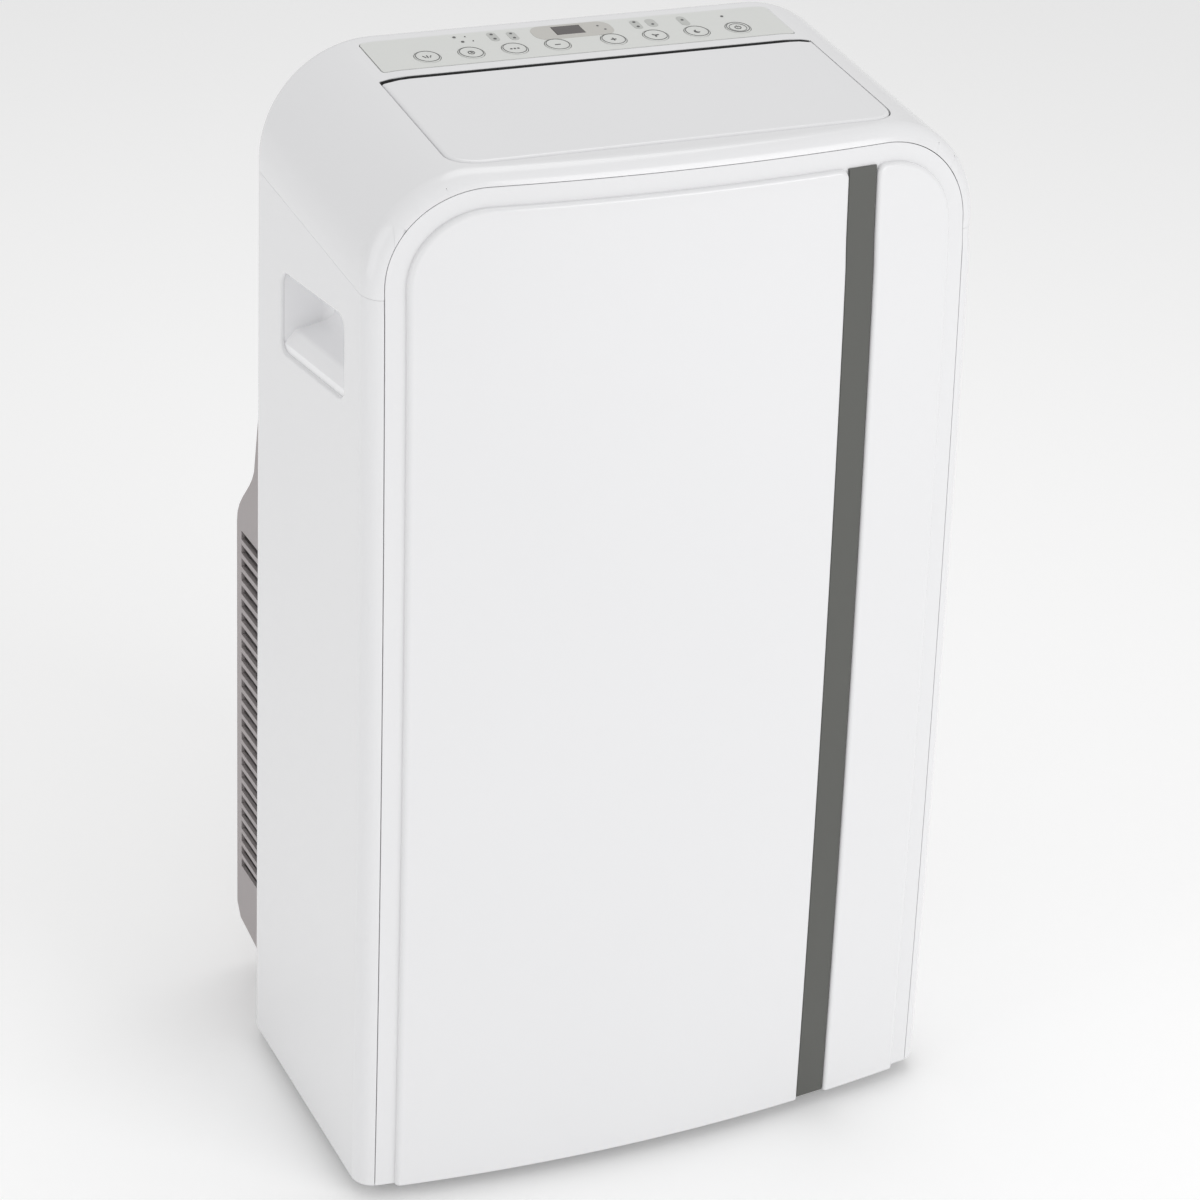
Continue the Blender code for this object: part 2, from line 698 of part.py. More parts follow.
def outlet_duct():
    """The air channel under the flap, which carries the flap's pins and the vanes' cross bar."""
    half = DUCT_HALF
    front = Y_SEAM + FLAP_FRONT + 0.006
    rear = Y_SEAM + FLAP_REAR + 0.005 + DUCT_WALL
    duct = block((-half, front, DUCT_LOW), (half, rear, HEIGHT))
    inner = half - DUCT_WALL
    combine(duct, [block((-inner, front + DUCT_WALL, 0), (inner, rear - DUCT_WALL, LONG))])
    follow_arch(duct, -FLAP_THICK - GAP * 2)
    y = Y_SEAM + FLAP_REAR - PIN_BACK
    z = HEIGHT - PIN_DROP
    swing = 0.0093
    combine(duct, [block((-LONG, y + 0.0004, z - swing), (LONG, y + swing, LONG))])
    near, far = inner + 0.0002, half - 0.0002
    bosses = [rod((side * near, y, z), (side * far, y, z), BOSS_R, 22) for side in (-1, 1)]
    combine(duct, bosses, "UNION")
    combine(duct, [rod((-LONG, y, z), (LONG, y, z), PIN_R + GAP, 16)])
    half -= 0.001
    bar = block((-half, VANE_Y - 0.004, DUCT_LOW + 0.002), (half, VANE_Y + 0.004, DUCT_LOW + 0.006))
    combine(duct, [bar], "UNION")
    combine(duct, [rod((x, VANE_Y, 0), (x, VANE_Y, LONG), VANE_PIN_R + GAP, 12) for x in VANE_X])
    return finished("outlet_duct", flow(duct, 0, upper=True), BLACK)


def vanes():
    """Upright vanes that steer the air left and right, each on a pin in the cross bar."""
    low = DUCT_LOW + 0.0065
    high = VANE_TOP
    for index, x in enumerate(VANE_X):
        vane = block((x - 0.0009, VANE_Y - 0.018, low), (x + 0.0009, VANE_Y + 0.020, high))
        pins = [rod((x, VANE_Y, DUCT_LOW + 0.001), (x, VANE_Y, low + 0.004), VANE_PIN_R, 12),
                rod((x, VANE_Y + VANE_ARM, high - 0.004), (x, VANE_Y + VANE_ARM, high + 0.004), LINK_PIN_R, 8)]
        combine(vane, pins, "UNION")
        finished(f"vane_{index + 1}", vane, BLACK)


def vane_link():
    """The bar that joins the vanes, slotted where each vane's upper pin passes."""
    z = VANE_TOP + 0.001
    y = VANE_Y + VANE_ARM
    half = VANE_X[-1] + 0.008
    bar = block((-half, y - 0.0055, z), (half, y + 0.0045, z + 0.0016))
    half = LINK_PIN_R + 0.0006
    slots = [block((x - half, y - 0.0035, z - 0.01), (x + half, y + 0.0025, z + 0.01)) for x in VANE_X]
    combine(bar, slots)
    return finished("vane_link", bar, BLACK)


def flap_motor():
    """The small stepper motor that turns the flap's right pin."""
    x = DUCT_HALF + GAP
    y = Y_SEAM + FLAP_REAR - PIN_BACK
    z = top_z(y) - PIN_DROP - 0.019
    body = rod((x, y, z), (x + 0.012, y, z), 0.010, 20)
    return finished("flap_motor", body, METAL)


def scroll(name, x, z, wheel_r, front, rear, mouth_z, mouth_x, inlet_r, motor_r):
    """A fan housing round a wheel: a spiral that widens into an upright mouth."""
    def spiral(extra):
        points = []
        for step in range(13):
            angle = math.radians(180 + 15 * step)
            radius = wheel_r * (1.10 + 0.22 * step / 18) + extra
            points.append((x + radius * math.cos(angle), z + radius * math.sin(angle)))
        return points
    wall = 0.002
    outer = spiral(wall)
    inner = spiral(0)
    x0, x1 = mouth_x
    top = mouth_z
    case = prism(outer + [(x1 + wall, z), (x1 + wall, top), (x0 - wall, top)], "Y", front, rear)
    room = prism(inner + [(x1, z), (x1, top + LONG), (x0, top + LONG)], "Y", front + wall, rear - wall)
    combine(case, [room, rod((x, rear - 0.02, z), (x, rear + 0.02, z), inlet_r, 28),
                   rod((x, front - 0.02, z), (x, front + 0.02, z), motor_r, 20)])
    return finished(name, case, BLACK)


def fan_wheel(name, x, z, radius, front, rear, shaft_r, blades=20):
    """A centrifugal wheel: a hub disc, blades round its rim and a shaft hole."""
    disc = rod((x, front, z), (x, front + 0.003, z), radius, 32)
    hub = rod((x, front - 0.001, z), (x, front + 0.016, z), shaft_r + 0.006, 16)
    ring = rod((x, rear - 0.003, z), (x, rear, z), radius, 32)
    combine(ring, [rod((x, rear - 0.1, z), (x, rear + 0.1, z), radius - 0.010, 32)])
    parts = [hub, ring]
    for step in range(blades):
        angle = 2 * math.pi * step / blades
        out = Vector((math.cos(angle), 0, math.sin(angle)))
        side = Vector((-math.sin(angle), 0, math.cos(angle)))
        centre = Vector((x, 0, z))
        rim = [centre + out * (radius - 0.011) - side * 0.001, centre + out * (radius - 0.011) + side * 0.001,
               centre + out * (radius - 0.001) + side * 0.005, centre + out * (radius - 0.001) + side * 0.003]
        parts.append(prism([(p.x, p.z) for p in rim], "Y", front + 0.001, rear - 0.001))
    combine(disc, parts, "UNION")
    combine(disc, [rod((x, front - 0.1, z), (x, rear + 0.1, z), shaft_r + GAP, 12)])
    return finished(name, disc, BLACK)


def fan_motor(name, x, z, radius, front, rear, shaft_end, shaft_r):
    """A fan motor with its shaft running into the wheel."""
    body = rod((x, front, z), (x, rear, z), radius, 28)
    combine(body, [rod((x, rear - 0.002, z), (x, shaft_end, z), shaft_r, 12)], "UNION")
    return finished(name, body, METAL)


def fans():
    """The upper fan pushes room air out of the top, the lower one pushes hot air to the exhaust port."""
    upper = (Y_SEAM + UPPER_FAN_FRONT, Y_SEAM + UPPER_FAN_FRONT + FAN_DEPTH)
    scroll("upper_fan_housing", 0, UPPER_FAN_Z, UPPER_FAN_R, *upper, DUCT_LOW - GAP,
           (-UPPER_FAN_R * 1.12, UPPER_FAN_R * 1.32), 0.052, 0.014)
    fan_wheel("upper_fan_wheel", 0, UPPER_FAN_Z, UPPER_FAN_R, upper[0] + 0.006, upper[1] - 0.006, SHAFT_R)
    fan_motor("upper_fan_motor", 0, UPPER_FAN_Z, 0.040, Y_SEAM + 0.016, upper[0] - GAP, upper[0] + 0.018, SHAFT_R)
    lower = (Y_SEAM + LOWER_FAN_FRONT, Y_SEAM + LOWER_FAN_FRONT + FAN_DEPTH)
    scroll("lower_fan_housing", LOWER_FAN_X, LOWER_FAN_Z, LOWER_FAN_R, *lower, LOWER_MOUTH,
           (LOWER_FAN_X - LOWER_FAN_R * 1.12, LOWER_FAN_X + LOWER_FAN_R * 1.32), 0.060, 0.014)
    fan_wheel("lower_fan_wheel", LOWER_FAN_X, LOWER_FAN_Z, LOWER_FAN_R, lower[0] + 0.006, lower[1] - 0.006, SHAFT_R)
    fan_motor("lower_fan_motor", LOWER_FAN_X, LOWER_FAN_Z, 0.042, Y_SEAM + 0.044, lower[0] - GAP,
              lower[0] + 0.018, SHAFT_R)


def exhaust_duct():
    """The channel from the lower fan's mouth up to the exhaust collar."""
    low, high = LOWER_MOUTH + GAP, PORT_Z + PORT_R + 0.008
    left, right = LOWER_FAN_X - 0.080, LOWER_FAN_X + 0.075
    front, rear = Y_SEAM + LOWER_FAN_FRONT, rear_face(PORT_Z) - 0.030 - GAP
    step_y, step_z = Y_SEAM + 0.152, 0.450
    duct = block((left, front, low), (right, rear, high))
    combine(duct, [block((-LONG, -LONG, step_z), (LONG, step_y, LONG))])
    wall = 0.002
    room = block((left + wall, front + wall, low + wall), (right - wall, rear - wall, high - wall))
    combine(room, [block((-LONG, -LONG, step_z - wall), (LONG, step_y + wall, LONG))])
    combine(duct, [room,
                   block((left + 0.006, front + wall, 0), (right - 0.006, Y_SEAM + 0.180, low + 0.01)),
                   rod((PORT_X, rear - 0.02, PORT_Z), (PORT_X, rear + 0.02, PORT_Z), PORT_R, 32)])
    return finished("exhaust_duct", duct, BLACK)


def coil_block(name, half, low, high, row, depth, fins):
    """A finned coil: a core slab with deep grooves between groups of fins."""
    front = Y_SEAM + row
    core = block((-half, front, low), (half, front + depth, high))
    pitch = 2 * half / fins
    grooves = []
    for step in range(1, fins):
        x = -half + pitch * step
        grooves.append(block((x - 0.0012, front + depth - 0.006, low - 0.01),
                             (x + 0.0012, front + depth + 0.01, high + 0.01)))
    combine(core, grooves)
    return finished(name, core, ALUMINIUM)


def cooling_unit():
    """The two coils, the compressor with its accumulator, and the tray under the upper coil."""
    coil_block("evaporator_coil", *EVAPORATOR, 22)
    tray = block((-0.175, Y_SEAM + 0.158, 0.566), (0.175, Y_SEAM + 0.204, 0.5835))
    combine(tray, [block((-0.172, Y_SEAM + 0.161, 0.569), (0.172, Y_SEAM + 0.201, 0.7))])
    rest = [block((x - 0.003, Y_SEAM + 0.159, 0.567), (x + 0.003, Y_SEAM + 0.203, 0.5835)) for x in (-0.1, 0.1)]
    finished("drip_tray", combine(tray, rest, "UNION"), BLACK)
    coil_block("condenser_coil", *CONDENSER, 24)
    x, y = COMPRESSOR_X, Y_SEAM + COMPRESSOR_ROW
    low = BASE_FLOOR + WALL + GAP
    shell = rod((x, y, low + 0.006), (x, y, low + COMPRESSOR_HEIGHT), COMPRESSOR_R, 28)
    combine(shell, [rod((x, y, low), (x, y, low + 0.012), COMPRESSOR_R - 0.008, 28),
                    rod((x, y, low + COMPRESSOR_HEIGHT - 0.001), (x, y, low + COMPRESSOR_HEIGHT + 0.016),
                        COMPRESSOR_R - 0.006, 28, tip=0.020)], "UNION")
    finished("compressor", shell, CHARCOAL)
    tank = rod((ACCUMULATOR_X, y, low + 0.060), (ACCUMULATOR_X, y, low + 0.200), 0.020, 20)
    finished("accumulator", tank, CHARCOAL)


def smooth_route(corners, radius=0.016, steps=4):
    """A route through corner points with its bends rounded."""
    corners = [Vector(c) for c in corners]
    points = [corners[0]]
    for before, here, after in zip(corners, corners[1:], corners[2:]):
        start = here + (before - here).normalized() * radius
        end = here + (after - here).normalized() * radius
        for step in range(steps + 1):
            t = step / steps
            points.append(start * (1 - t) ** 2 + here * 2 * t * (1 - t) + end * t ** 2)
    return points + [corners[-1]]


def pipes():
    """Copper pipes between the compressor and the coils, and the capillary's coil."""
    y, x = Y_SEAM + COMPRESSOR_ROW, COMPRESSOR_X
    low = BASE_FLOOR + WALL + GAP
    top = low + COMPRESSOR_HEIGHT + 0.016 + GAP
    half, _, coil_top, row, depth = CONDENSER
    coil_y = Y_SEAM + row + depth / 2
    bend = top + 0.100
    tube("discharge_pipe", smooth_route([(x, y, top), (x, y, bend), (x, coil_y, bend), (x, coil_y, coil_top + GAP)]),
         0.004, COPPER)
    half, _, _, row, depth = EVAPORATOR
    coil_y = Y_SEAM + row + depth / 2 + 0.002
    x = ACCUMULATOR_X
    tube("suction_pipe", smooth_route([(x, y, low + 0.200 + GAP), (x, y, 0.44), (x, coil_y, 0.44), (x, coil_y, 0.62),
                                       (-half - GAP, coil_y, 0.62)], 0.014), 0.004, COPPER)
    turns, per_turn = 4, 14
    helix = []
    for step in range(turns * per_turn + 1):
        angle = 2 * math.pi * step / per_turn
        helix.append((-0.135 + 0.012 * math.cos(angle), Y_SEAM + 0.150 + 0.012 * math.sin(angle),
                      0.470 + 0.005 * step / per_turn))
    tube("capillary_coil", helix, 0.0012, COPPER)


def partition():
    """The shelf between the cool upper part and the hot lower part."""
    shelf = block((-HALF_W + 0.008, Y_SEAM + 0.014, 0.512), (HALF_W - 0.008, Y_SEAM + 0.098, 0.515))
    return finished("partition_shelf", shelf, METAL)


def control_box():
    """The metal box that holds the relays and the capacitor."""
    low, high = Vector((0.010, Y_SEAM + 0.018, 0.345)), Vector((0.175, Y_SEAM + 0.078, 0.470))
    box = block(low, high)
    wall = Vector((0.0015, 0.0015, 0.0015))
    combine(box, [block(low + wall, high - wall + Vector((0, 0.01, 0)))])
    return finished("control_box", box, METAL)


def base_pan():
    """The base: a tray that carries the compressor and the fans, on bosses for the casters."""
    half = HALF_W + SIDE_FLARE * 0.9 - WALL - GAP - 0.001
    front, rear = Y_SEAM + WALL + 0.006, Y_REAR - REAR_LAP - GAP * 2
    soft = EDGE_ROLL
    pan = prism(rounded((-half, front), (half, rear), [soft] * 4), "Z", BASE_FLOOR, BASE_FLOOR + BASE_RIM)
    inner = rounded((-half + WALL, front + WALL), (half - WALL, rear - WALL), [soft - WALL] * 4)
    combine(pan, [prism(inner, "Z", BASE_FLOOR + WALL, LONG)])
    combine(pan, [rod((x, y, 0), (x, y, 0.1), 0.0045, 16) for x, y in caster_places()])
    return finished("base_pan", pan, DARK_GREY)


def caster_places():
    ys = (Y_SEAM + CASTER_INSET, Y_REAR - CASTER_INSET)
    return [(x, y) for y in ys for x in (-CASTER_X, CASTER_X)]


CASTER_NAMES = ("front_left", "front_right", "rear_left", "rear_right")


def casters():
    """Four swivel casters: a fork with its stem and axle pin, and a wheel."""
    for name, (x, y) in zip(CASTER_NAMES, caster_places()):
        axle_y, axle_z = y + CASTER_TRAIL, CASTER_WHEEL_R
        top = BASE_FLOOR - GAP
        fork = rod((x, y, top - 0.004), (x, y, top), 0.014, 24)
        stem = rod((x, y, top - 0.002), (x, y, BASE_FLOOR + WALL + 0.004), 0.0040, 12)
        cheeks = []
        for side in (-1, 1):
            ends = sorted((x + side * 0.0075, x + side * 0.0095))
            outline = [(y - 0.006, top - 0.003), (axle_y - 0.004, axle_z - 0.003), (axle_y + 0.004, axle_z - 0.003),
                       (y + 0.011, top - 0.003)]
            cheeks.append(prism(outline, "X", *ends))
        axle = rod((x - 0.0092, axle_y, axle_z), (x + 0.0092, axle_y, axle_z), 0.002, 12)
        combine(fork, [stem, *cheeks, axle], "UNION")
        finished(f"caster_fork_{name}", fork, METAL)
        wheel = rod((x - 0.0065, axle_y, axle_z), (x + 0.0065, axle_y, axle_z), CASTER_WHEEL_R, 28)
        combine(wheel, [rod((x - 0.02, axle_y, axle_z), (x + 0.02, axle_y, axle_z), 0.0023, 14)])
        finished(f"caster_wheel_{name}", wheel, RUBBER)


def casing():
    shell = casing_shell()
    top_cover(shell)
    right = side_panel("right_side_panel", shell, 1)
    mirrored("left_side_panel", right, WHITE)
    bpy.data.objects.remove(shell)
    front_panel()
    stripe_insert()


def start():
    """Empties the scene and makes the two collections."""
    for old in list(bpy.data.objects):
        bpy.data.objects.remove(old)
    made = []
    for name in ("portable_air_conditioner", "cutters"):
        collection = bpy.data.collections.new(name)
        bpy.context.scene.collection.children.link(collection)
        made.append(collection)
    return made


PARTS, CUTTERS = start()
WHITE = material("white_gloss_plastic", (0.86, 0.86, 0.88), 0.22)
PLATE = material("plate_plastic", (0.72, 0.74, 0.72), 0.35)
GREY = material("warm_grey_plastic", (0.33, 0.30, 0.30), 0.5)
STRIPE = material("stripe_plastic", (0.12, 0.13, 0.12), 0.35)
SMOKED = material("smoked_window", (0.10, 0.07, 0.07), 0.1)
DARK_GREY = material("dark_grey_plastic", (0.10, 0.10, 0.10), 0.5)
BLACK = material("black_plastic", (0.03, 0.03, 0.03), 0.5)
RUBBER = material("black_rubber", (0.02, 0.02, 0.02), 0.8)
METAL = material("zinc_plated_steel", (0.55, 0.55, 0.56), 0.35, 1.0)
ALUMINIUM = material("fin_aluminium", (0.75, 0.76, 0.78), 0.35, 1.0)
COPPER = material("copper_pipe", (0.72, 0.38, 0.24), 0.3, 1.0)
CHARCOAL = material("compressor_paint", (0.02, 0.02, 0.022), 0.4)
BOARD = material("circuit_board", (0.02, 0.15, 0.06), 0.5)

casing()
rear_cover()
filter_grille("upper_filter_grille", *UPPER_FILTER, 10, GREY)
filter_grille("lower_filter_grille", *LOWER_FILTER, 20, GREY)
exhaust_collar()
drain_plug("upper_drain_plug", DRAINS[0])
drain_plug("lower_drain_plug", DRAINS[1])
cord_gland()
handle_cup("left_handle_cup", -1)
handle_cup("right_handle_cup", 1)
control_plate()
display_window()
keys()
control_board()
louver_flap()
outlet_duct()
vanes()
vane_link()
flap_motor()
fans()
exhaust_duct()
cooling_unit()
pipes()
partition()
control_box()
base_pan()
casters()


def pivot(name, point):
    """Moves a piece's origin to a point on its joint's axis, and leaves the piece where it is."""
    piece = PARTS.objects[name]
    point = Vector(point)
    for vert in piece.data.vertices:
        vert.co -= point
    piece.location = point


def pivots():
    """Puts every moving piece's origin on the axis that it turns round or slides along."""
    y = Y_SEAM + FLAP_REAR - PIN_BACK
    pivot("louver_flap", flowed((0, y, HEIGHT - PIN_DROP), 0))
    for name, x in zip(KEY_NAMES, key_places()):
        pivot(name, (x, Y_SEAM + KEY_ROW, top_z(Y_SEAM + KEY_ROW)))
    for index, x in enumerate(VANE_X):
        pivot(f"vane_{index + 1}", (x, VANE_Y, DUCT_LOW + 0.004))
    pivot("vane_link", (0, VANE_Y + VANE_ARM, VANE_TOP + 0.0018))
    for name, (_, low, high) in (("upper_filter_grille", UPPER_FILTER), ("lower_filter_grille", LOWER_FILTER)):
        pivot(name, (0, rear_face(low), (low + high) / 2))
    for name, z in zip(("upper_drain_plug", "lower_drain_plug"), DRAINS):
        pivot(name, (DRAIN_X, rear_face(z), z))
    pivot("upper_fan_wheel", (0, Y_SEAM + UPPER_FAN_FRONT + FAN_DEPTH / 2, UPPER_FAN_Z))
    pivot("lower_fan_wheel", (LOWER_FAN_X, Y_SEAM + LOWER_FAN_FRONT + FAN_DEPTH / 2, LOWER_FAN_Z))
    for name, (x, y) in zip(CASTER_NAMES, caster_places()):
        pivot(f"caster_fork_{name}", (x, y, BASE_FLOOR))
        pivot(f"caster_wheel_{name}", (x, y + CASTER_TRAIL, CASTER_WHEEL_R))


pivots()
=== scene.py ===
import json
import math

import bmesh
import bpy
from mathutils import Matrix, Vector


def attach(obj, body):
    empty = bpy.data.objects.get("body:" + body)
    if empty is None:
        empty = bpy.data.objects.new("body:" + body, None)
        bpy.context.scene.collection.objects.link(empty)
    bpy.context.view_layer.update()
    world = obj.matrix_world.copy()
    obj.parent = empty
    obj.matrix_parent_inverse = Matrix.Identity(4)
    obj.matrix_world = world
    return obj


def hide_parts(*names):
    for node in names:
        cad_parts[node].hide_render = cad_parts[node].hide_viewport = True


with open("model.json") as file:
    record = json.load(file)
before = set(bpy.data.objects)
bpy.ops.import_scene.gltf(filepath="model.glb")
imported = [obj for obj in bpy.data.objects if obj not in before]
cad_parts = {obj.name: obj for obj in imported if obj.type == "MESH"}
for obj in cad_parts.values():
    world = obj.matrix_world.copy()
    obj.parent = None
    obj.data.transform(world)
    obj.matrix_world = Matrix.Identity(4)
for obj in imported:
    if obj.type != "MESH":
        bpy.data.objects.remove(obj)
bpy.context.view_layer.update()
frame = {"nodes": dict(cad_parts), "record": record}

# The camera looks down at the front and the left side from about two metres, with a long lens.
# It is rolled by 2.5 degrees, and a small shift sets where the casing stands in the frame.
azimuth, elevation, roll = math.radians(-25.642), math.radians(26.147), 0.0439
back = Vector((math.sin(azimuth) * math.cos(elevation), -math.cos(azimuth) * math.cos(elevation),
               math.sin(elevation)))
level = (-back).cross(Vector((0, 0, 1))).normalized()
upward = level.cross(-back)
right = level * math.cos(roll) + upward * math.sin(roll)
over = upward * math.cos(roll) - level * math.sin(roll)
aim, distance = Vector((0, -0.0322, 0.3879)), 2.2491
eye = aim + back * distance
camera = bpy.data.objects.new("camera", bpy.data.cameras.new("camera"))
bpy.context.scene.collection.objects.link(camera)
camera.matrix_world = Matrix.Translation(eye) @ Matrix((right, over, back)).transposed().to_4x4()
frame_width, focal_length, drop = 1200, 3224.1, 18.4
camera.data.sensor_width = 36
camera.data.lens = focal_length / frame_width * camera.data.sensor_width
camera.data.shift_y = -drop / frame_width
camera.data.clip_end = 50
bpy.context.scene.camera = camera
bpy.context.scene.view_settings.view_transform = "Standard"

# The studio: a pale floor that runs out of sight, a bright even surround, and three soft boxes.
# The largest stands to the front and right, so the front is the lightest side and the left is in shade.
bpy.ops.object.select_all(action="DESELECT")
bpy.ops.mesh.primitive_plane_add(size=24, location=(0, 0, 0))
floor = bpy.context.object
floor.name = "studio_floor"
pale = bpy.data.materials.new("studio_floor")
pale.use_nodes = True
pale.node_tree.nodes["Principled BSDF"].inputs["Base Color"].default_value = (0.93, 0.93, 0.93, 1)
pale.node_tree.nodes["Principled BSDF"].inputs["Roughness"].default_value = 0.9
pale.node_tree.nodes["Principled BSDF"].inputs["Emission Color"].default_value = (1, 1, 1, 1)
pale.node_tree.nodes["Principled BSDF"].inputs["Emission Strength"].default_value = 0.14
floor.data.materials.append(pale)
world = bpy.data.worlds.new("studio")
world.use_nodes = True
world.node_tree.nodes["Background"].inputs["Color"].default_value = (1, 1, 1, 1)
world.node_tree.nodes["Background"].inputs["Strength"].default_value = 0.64
bpy.context.scene.world = world
soft_boxes = (("key_light", (1.3, -2.7, 1.3), 1.8, 27), ("top_light", (0.3, 0.5, 2.8), 1.5, 11),
              ("left_light", (-2.6, -0.5, 1.1), 1.7, 9))
for name, spot, size, power in soft_boxes:
    light = bpy.data.lights.new(name, "AREA")
    light.size = size
    light.energy = power
    lamp = bpy.data.objects.new(name, light)
    lamp.location = spot
    lamp.rotation_euler = (Vector((0, 0, 0.4)) - Vector(spot)).to_track_quat("-Z", "Y").to_euler()
    bpy.context.scene.collection.objects.link(lamp)

# The casing is three white gloss mouldings with 3 mm walls: two sides and the top cover that joins them.
# Each is moulded in one piece, and the parting line between the top and the sides is a fine open joint.
HEIGHT, HALF_W, CASING_DEPTH, WALL = 0.765, 0.214, 0.204, 0.003
Y_SEAM, Y_REAR, Z_LOW, Z_SEAM = -0.1295, 0.0745, 0.012, 0.681
CORNER_R, EDGE_ROLL, FRONT_BOW, FRONT_LEAN, SIDE_FLARE = 0.077, 0.012, 0.019, 0.021, 0.008
TOP_FALL, SEAM_FALL, FALL_START = 0.026, 0.020, 0.646
FLAP_HALF, FLAP_FRONT, FLAP_REAR, FLAP_CORNER = 0.155, Y_SEAM + 0.003, Y_SEAM + 0.127, 0.020
PLATE_HALF, PLATE_FRONT, PLATE_REAR = 0.149, Y_SEAM + 0.140, Y_SEAM + 0.1855
HANDLE_FRONT, HANDLE_REAR, HANDLE_LOW, HANDLE_HIGH = Y_SEAM + 0.039, Y_SEAM + 0.152, 0.576, 0.631


def let_go():
    if bpy.context.object and bpy.context.object.mode != "OBJECT":
        bpy.ops.object.mode_set(mode="OBJECT")
    bpy.ops.object.select_all(action="DESELECT")


def take(piece):
    let_go()
    piece.select_set(True)
    bpy.context.view_layer.objects.active = piece


def slab(name, low, high):
    """A block between two corners, the start of a moulding."""
    let_go()
    low, high = Vector(low), Vector(high)
    bpy.ops.mesh.primitive_cube_add(size=1, location=(low + high) / 2, scale=high - low)
    piece = bpy.context.object
    piece.name = piece.data.name = name
    bpy.ops.object.transform_apply(location=True, rotation=True, scale=True)
    return piece


def disc(name, centre, radius, low, high, sides=48, along="Z"):
    """A round block between two levels along one axis."""
    let_go()
    turn = {"Z": (0, 0, 0), "Y": (math.pi / 2, 0, 0), "X": (0, math.pi / 2, 0)}[along]
    middle = (low + high) / 2
    spot = {"Z": (*centre, middle), "Y": (centre[0], middle, centre[1]), "X": (middle, *centre)}[along]
    bpy.ops.mesh.primitive_cylinder_add(vertices=sides, radius=radius, depth=high - low,
                                        location=spot, rotation=turn)
    piece = bpy.context.object
    piece.name = piece.data.name = name
    bpy.ops.object.transform_apply(location=True, rotation=True, scale=True)
    return piece


def bevel(piece, test, width, steps):
    """Rounds the edges that pass a test of their two ends and their two faces."""
    take(piece)
    bpy.ops.object.mode_set(mode="EDIT")
    bpy.ops.mesh.select_mode(type="EDGE")
    bpy.ops.mesh.select_all(action="DESELECT")
    mesh = bmesh.from_edit_mesh(piece.data)
    for edge in mesh.edges:
        if test(*[v.co for v in edge.verts], [f.normal for f in edge.link_faces]):
            edge.select_set(True)
    bmesh.update_edit_mesh(piece.data)
    bpy.ops.mesh.bevel(offset=width, segments=steps, affect="EDGES", clamp_overlap=False)
    bpy.ops.object.mode_set(mode="OBJECT")
    return piece


def slice_up(piece, axis, places, chosen=lambda spot: True):
    """Cuts a piece's faces along planes, so that they can bend there; the faces are chosen by their middles."""
    take(piece)
    bpy.ops.object.mode_set(mode="EDIT")
    for place in places:
        bpy.ops.mesh.select_all(action="DESELECT")
        mesh = bmesh.from_edit_mesh(piece.data)
        for face in mesh.faces:
            face.select_set(chosen(face.calc_center_median()))
        bmesh.update_edit_mesh(piece.data)
        spot = [place if axis == k else 0 for k in range(3)]
        bpy.ops.mesh.bisect(plane_co=spot, plane_no=[float(axis == k) for k in range(3)],
                            threshold=0.00002)
    bpy.ops.object.mode_set(mode="OBJECT")
    return piece


def steps_between(low, high, count):
    return [low + (high - low) * k / count for k in range(1, count)]


def cut(piece, *others, how="DIFFERENCE"):
    """Cuts, joins or trims a piece with other shapes, which are used up."""
    for other in others:
        take(piece)
        step = piece.modifiers.new("cut", "BOOLEAN")
        step.operation, step.solver, step.object = how, "MANIFOLD", other
        bpy.ops.object.modifier_apply(modifier=step.name)
        bpy.data.objects.remove(other)
    return piece


def twin(piece, name):
    made = piece.copy()
    made.data = piece.data.copy()
    made.name = made.data.name = name
    bpy.context.scene.collection.objects.link(made)
    return made


def moved(piece, rule):
    for vert in piece.data.vertices:
        vert.co = rule(vert.co)
    return piece


def soften(piece, width=0.0004, steps=2, angle=32):
    """Breaks the sharp edges as a mould does, and shades the rest smooth."""
    take(piece)
    bpy.ops.object.mode_set(mode="EDIT")
    bpy.ops.mesh.select_all(action="SELECT")
    bpy.ops.mesh.remove_doubles(threshold=0.00002)
    bpy.ops.object.mode_set(mode="OBJECT")
    if width:
        step = piece.modifiers.new("edge", "BEVEL")
        step.width, step.segments = width, steps
        step.limit_method, step.angle_limit = "ANGLE", math.radians(angle)
        bpy.ops.object.modifier_apply(modifier=step.name)
    bpy.ops.object.shade_smooth_by_angle(angle=math.radians(angle))
    step = piece.modifiers.new("normals", "WEIGHTED_NORMAL")
    step.keep_sharp = True
    bpy.ops.object.modifier_apply(modifier=step.name)
    return piece


def part_way(value, start, end):
    return min(max((value - start) / (end - start), 0), 1)


def casing_lines(point, lean=FRONT_LEAN):
    """The front leans out and the sides flare lower down, and the top falls to the front."""
    x, y, z = point
    depth = part_way(Y_REAR - y, 0, CASING_DEPTH)
    up = part_way(z, Z_LOW, HEIGHT)
    fall = (TOP_FALL - SEAM_FALL) * part_way(z, Z_SEAM, HEIGHT) + SEAM_FALL * part_way(z, FALL_START, Z_SEAM)
    return Vector((x * (1 + SIDE_FLARE / HALF_W * (1 - up)), y - lean * (1 - up * up) * depth,
                   z - fall * depth))


def top_lines(point):
    return casing_lines(point, 0)


def bowed(x, y):
    return y - FRONT_BOW * (1 - (x / HALF_W) ** 2)


def arch_block(half, high, radius, front, rear, low=-0.2):
    """A block with the casing's outline from the front: upright sides and rounded top corners."""
    piece = slab("arch", (-half, front, low), (half, rear, high))
    return bevel(piece, lambda a, b, _: min(a.z, b.z) > high - 1e-5 and abs(abs(a.x) - half) < 1e-5
                 and abs(a.x - b.x) < 1e-5, radius, 24)


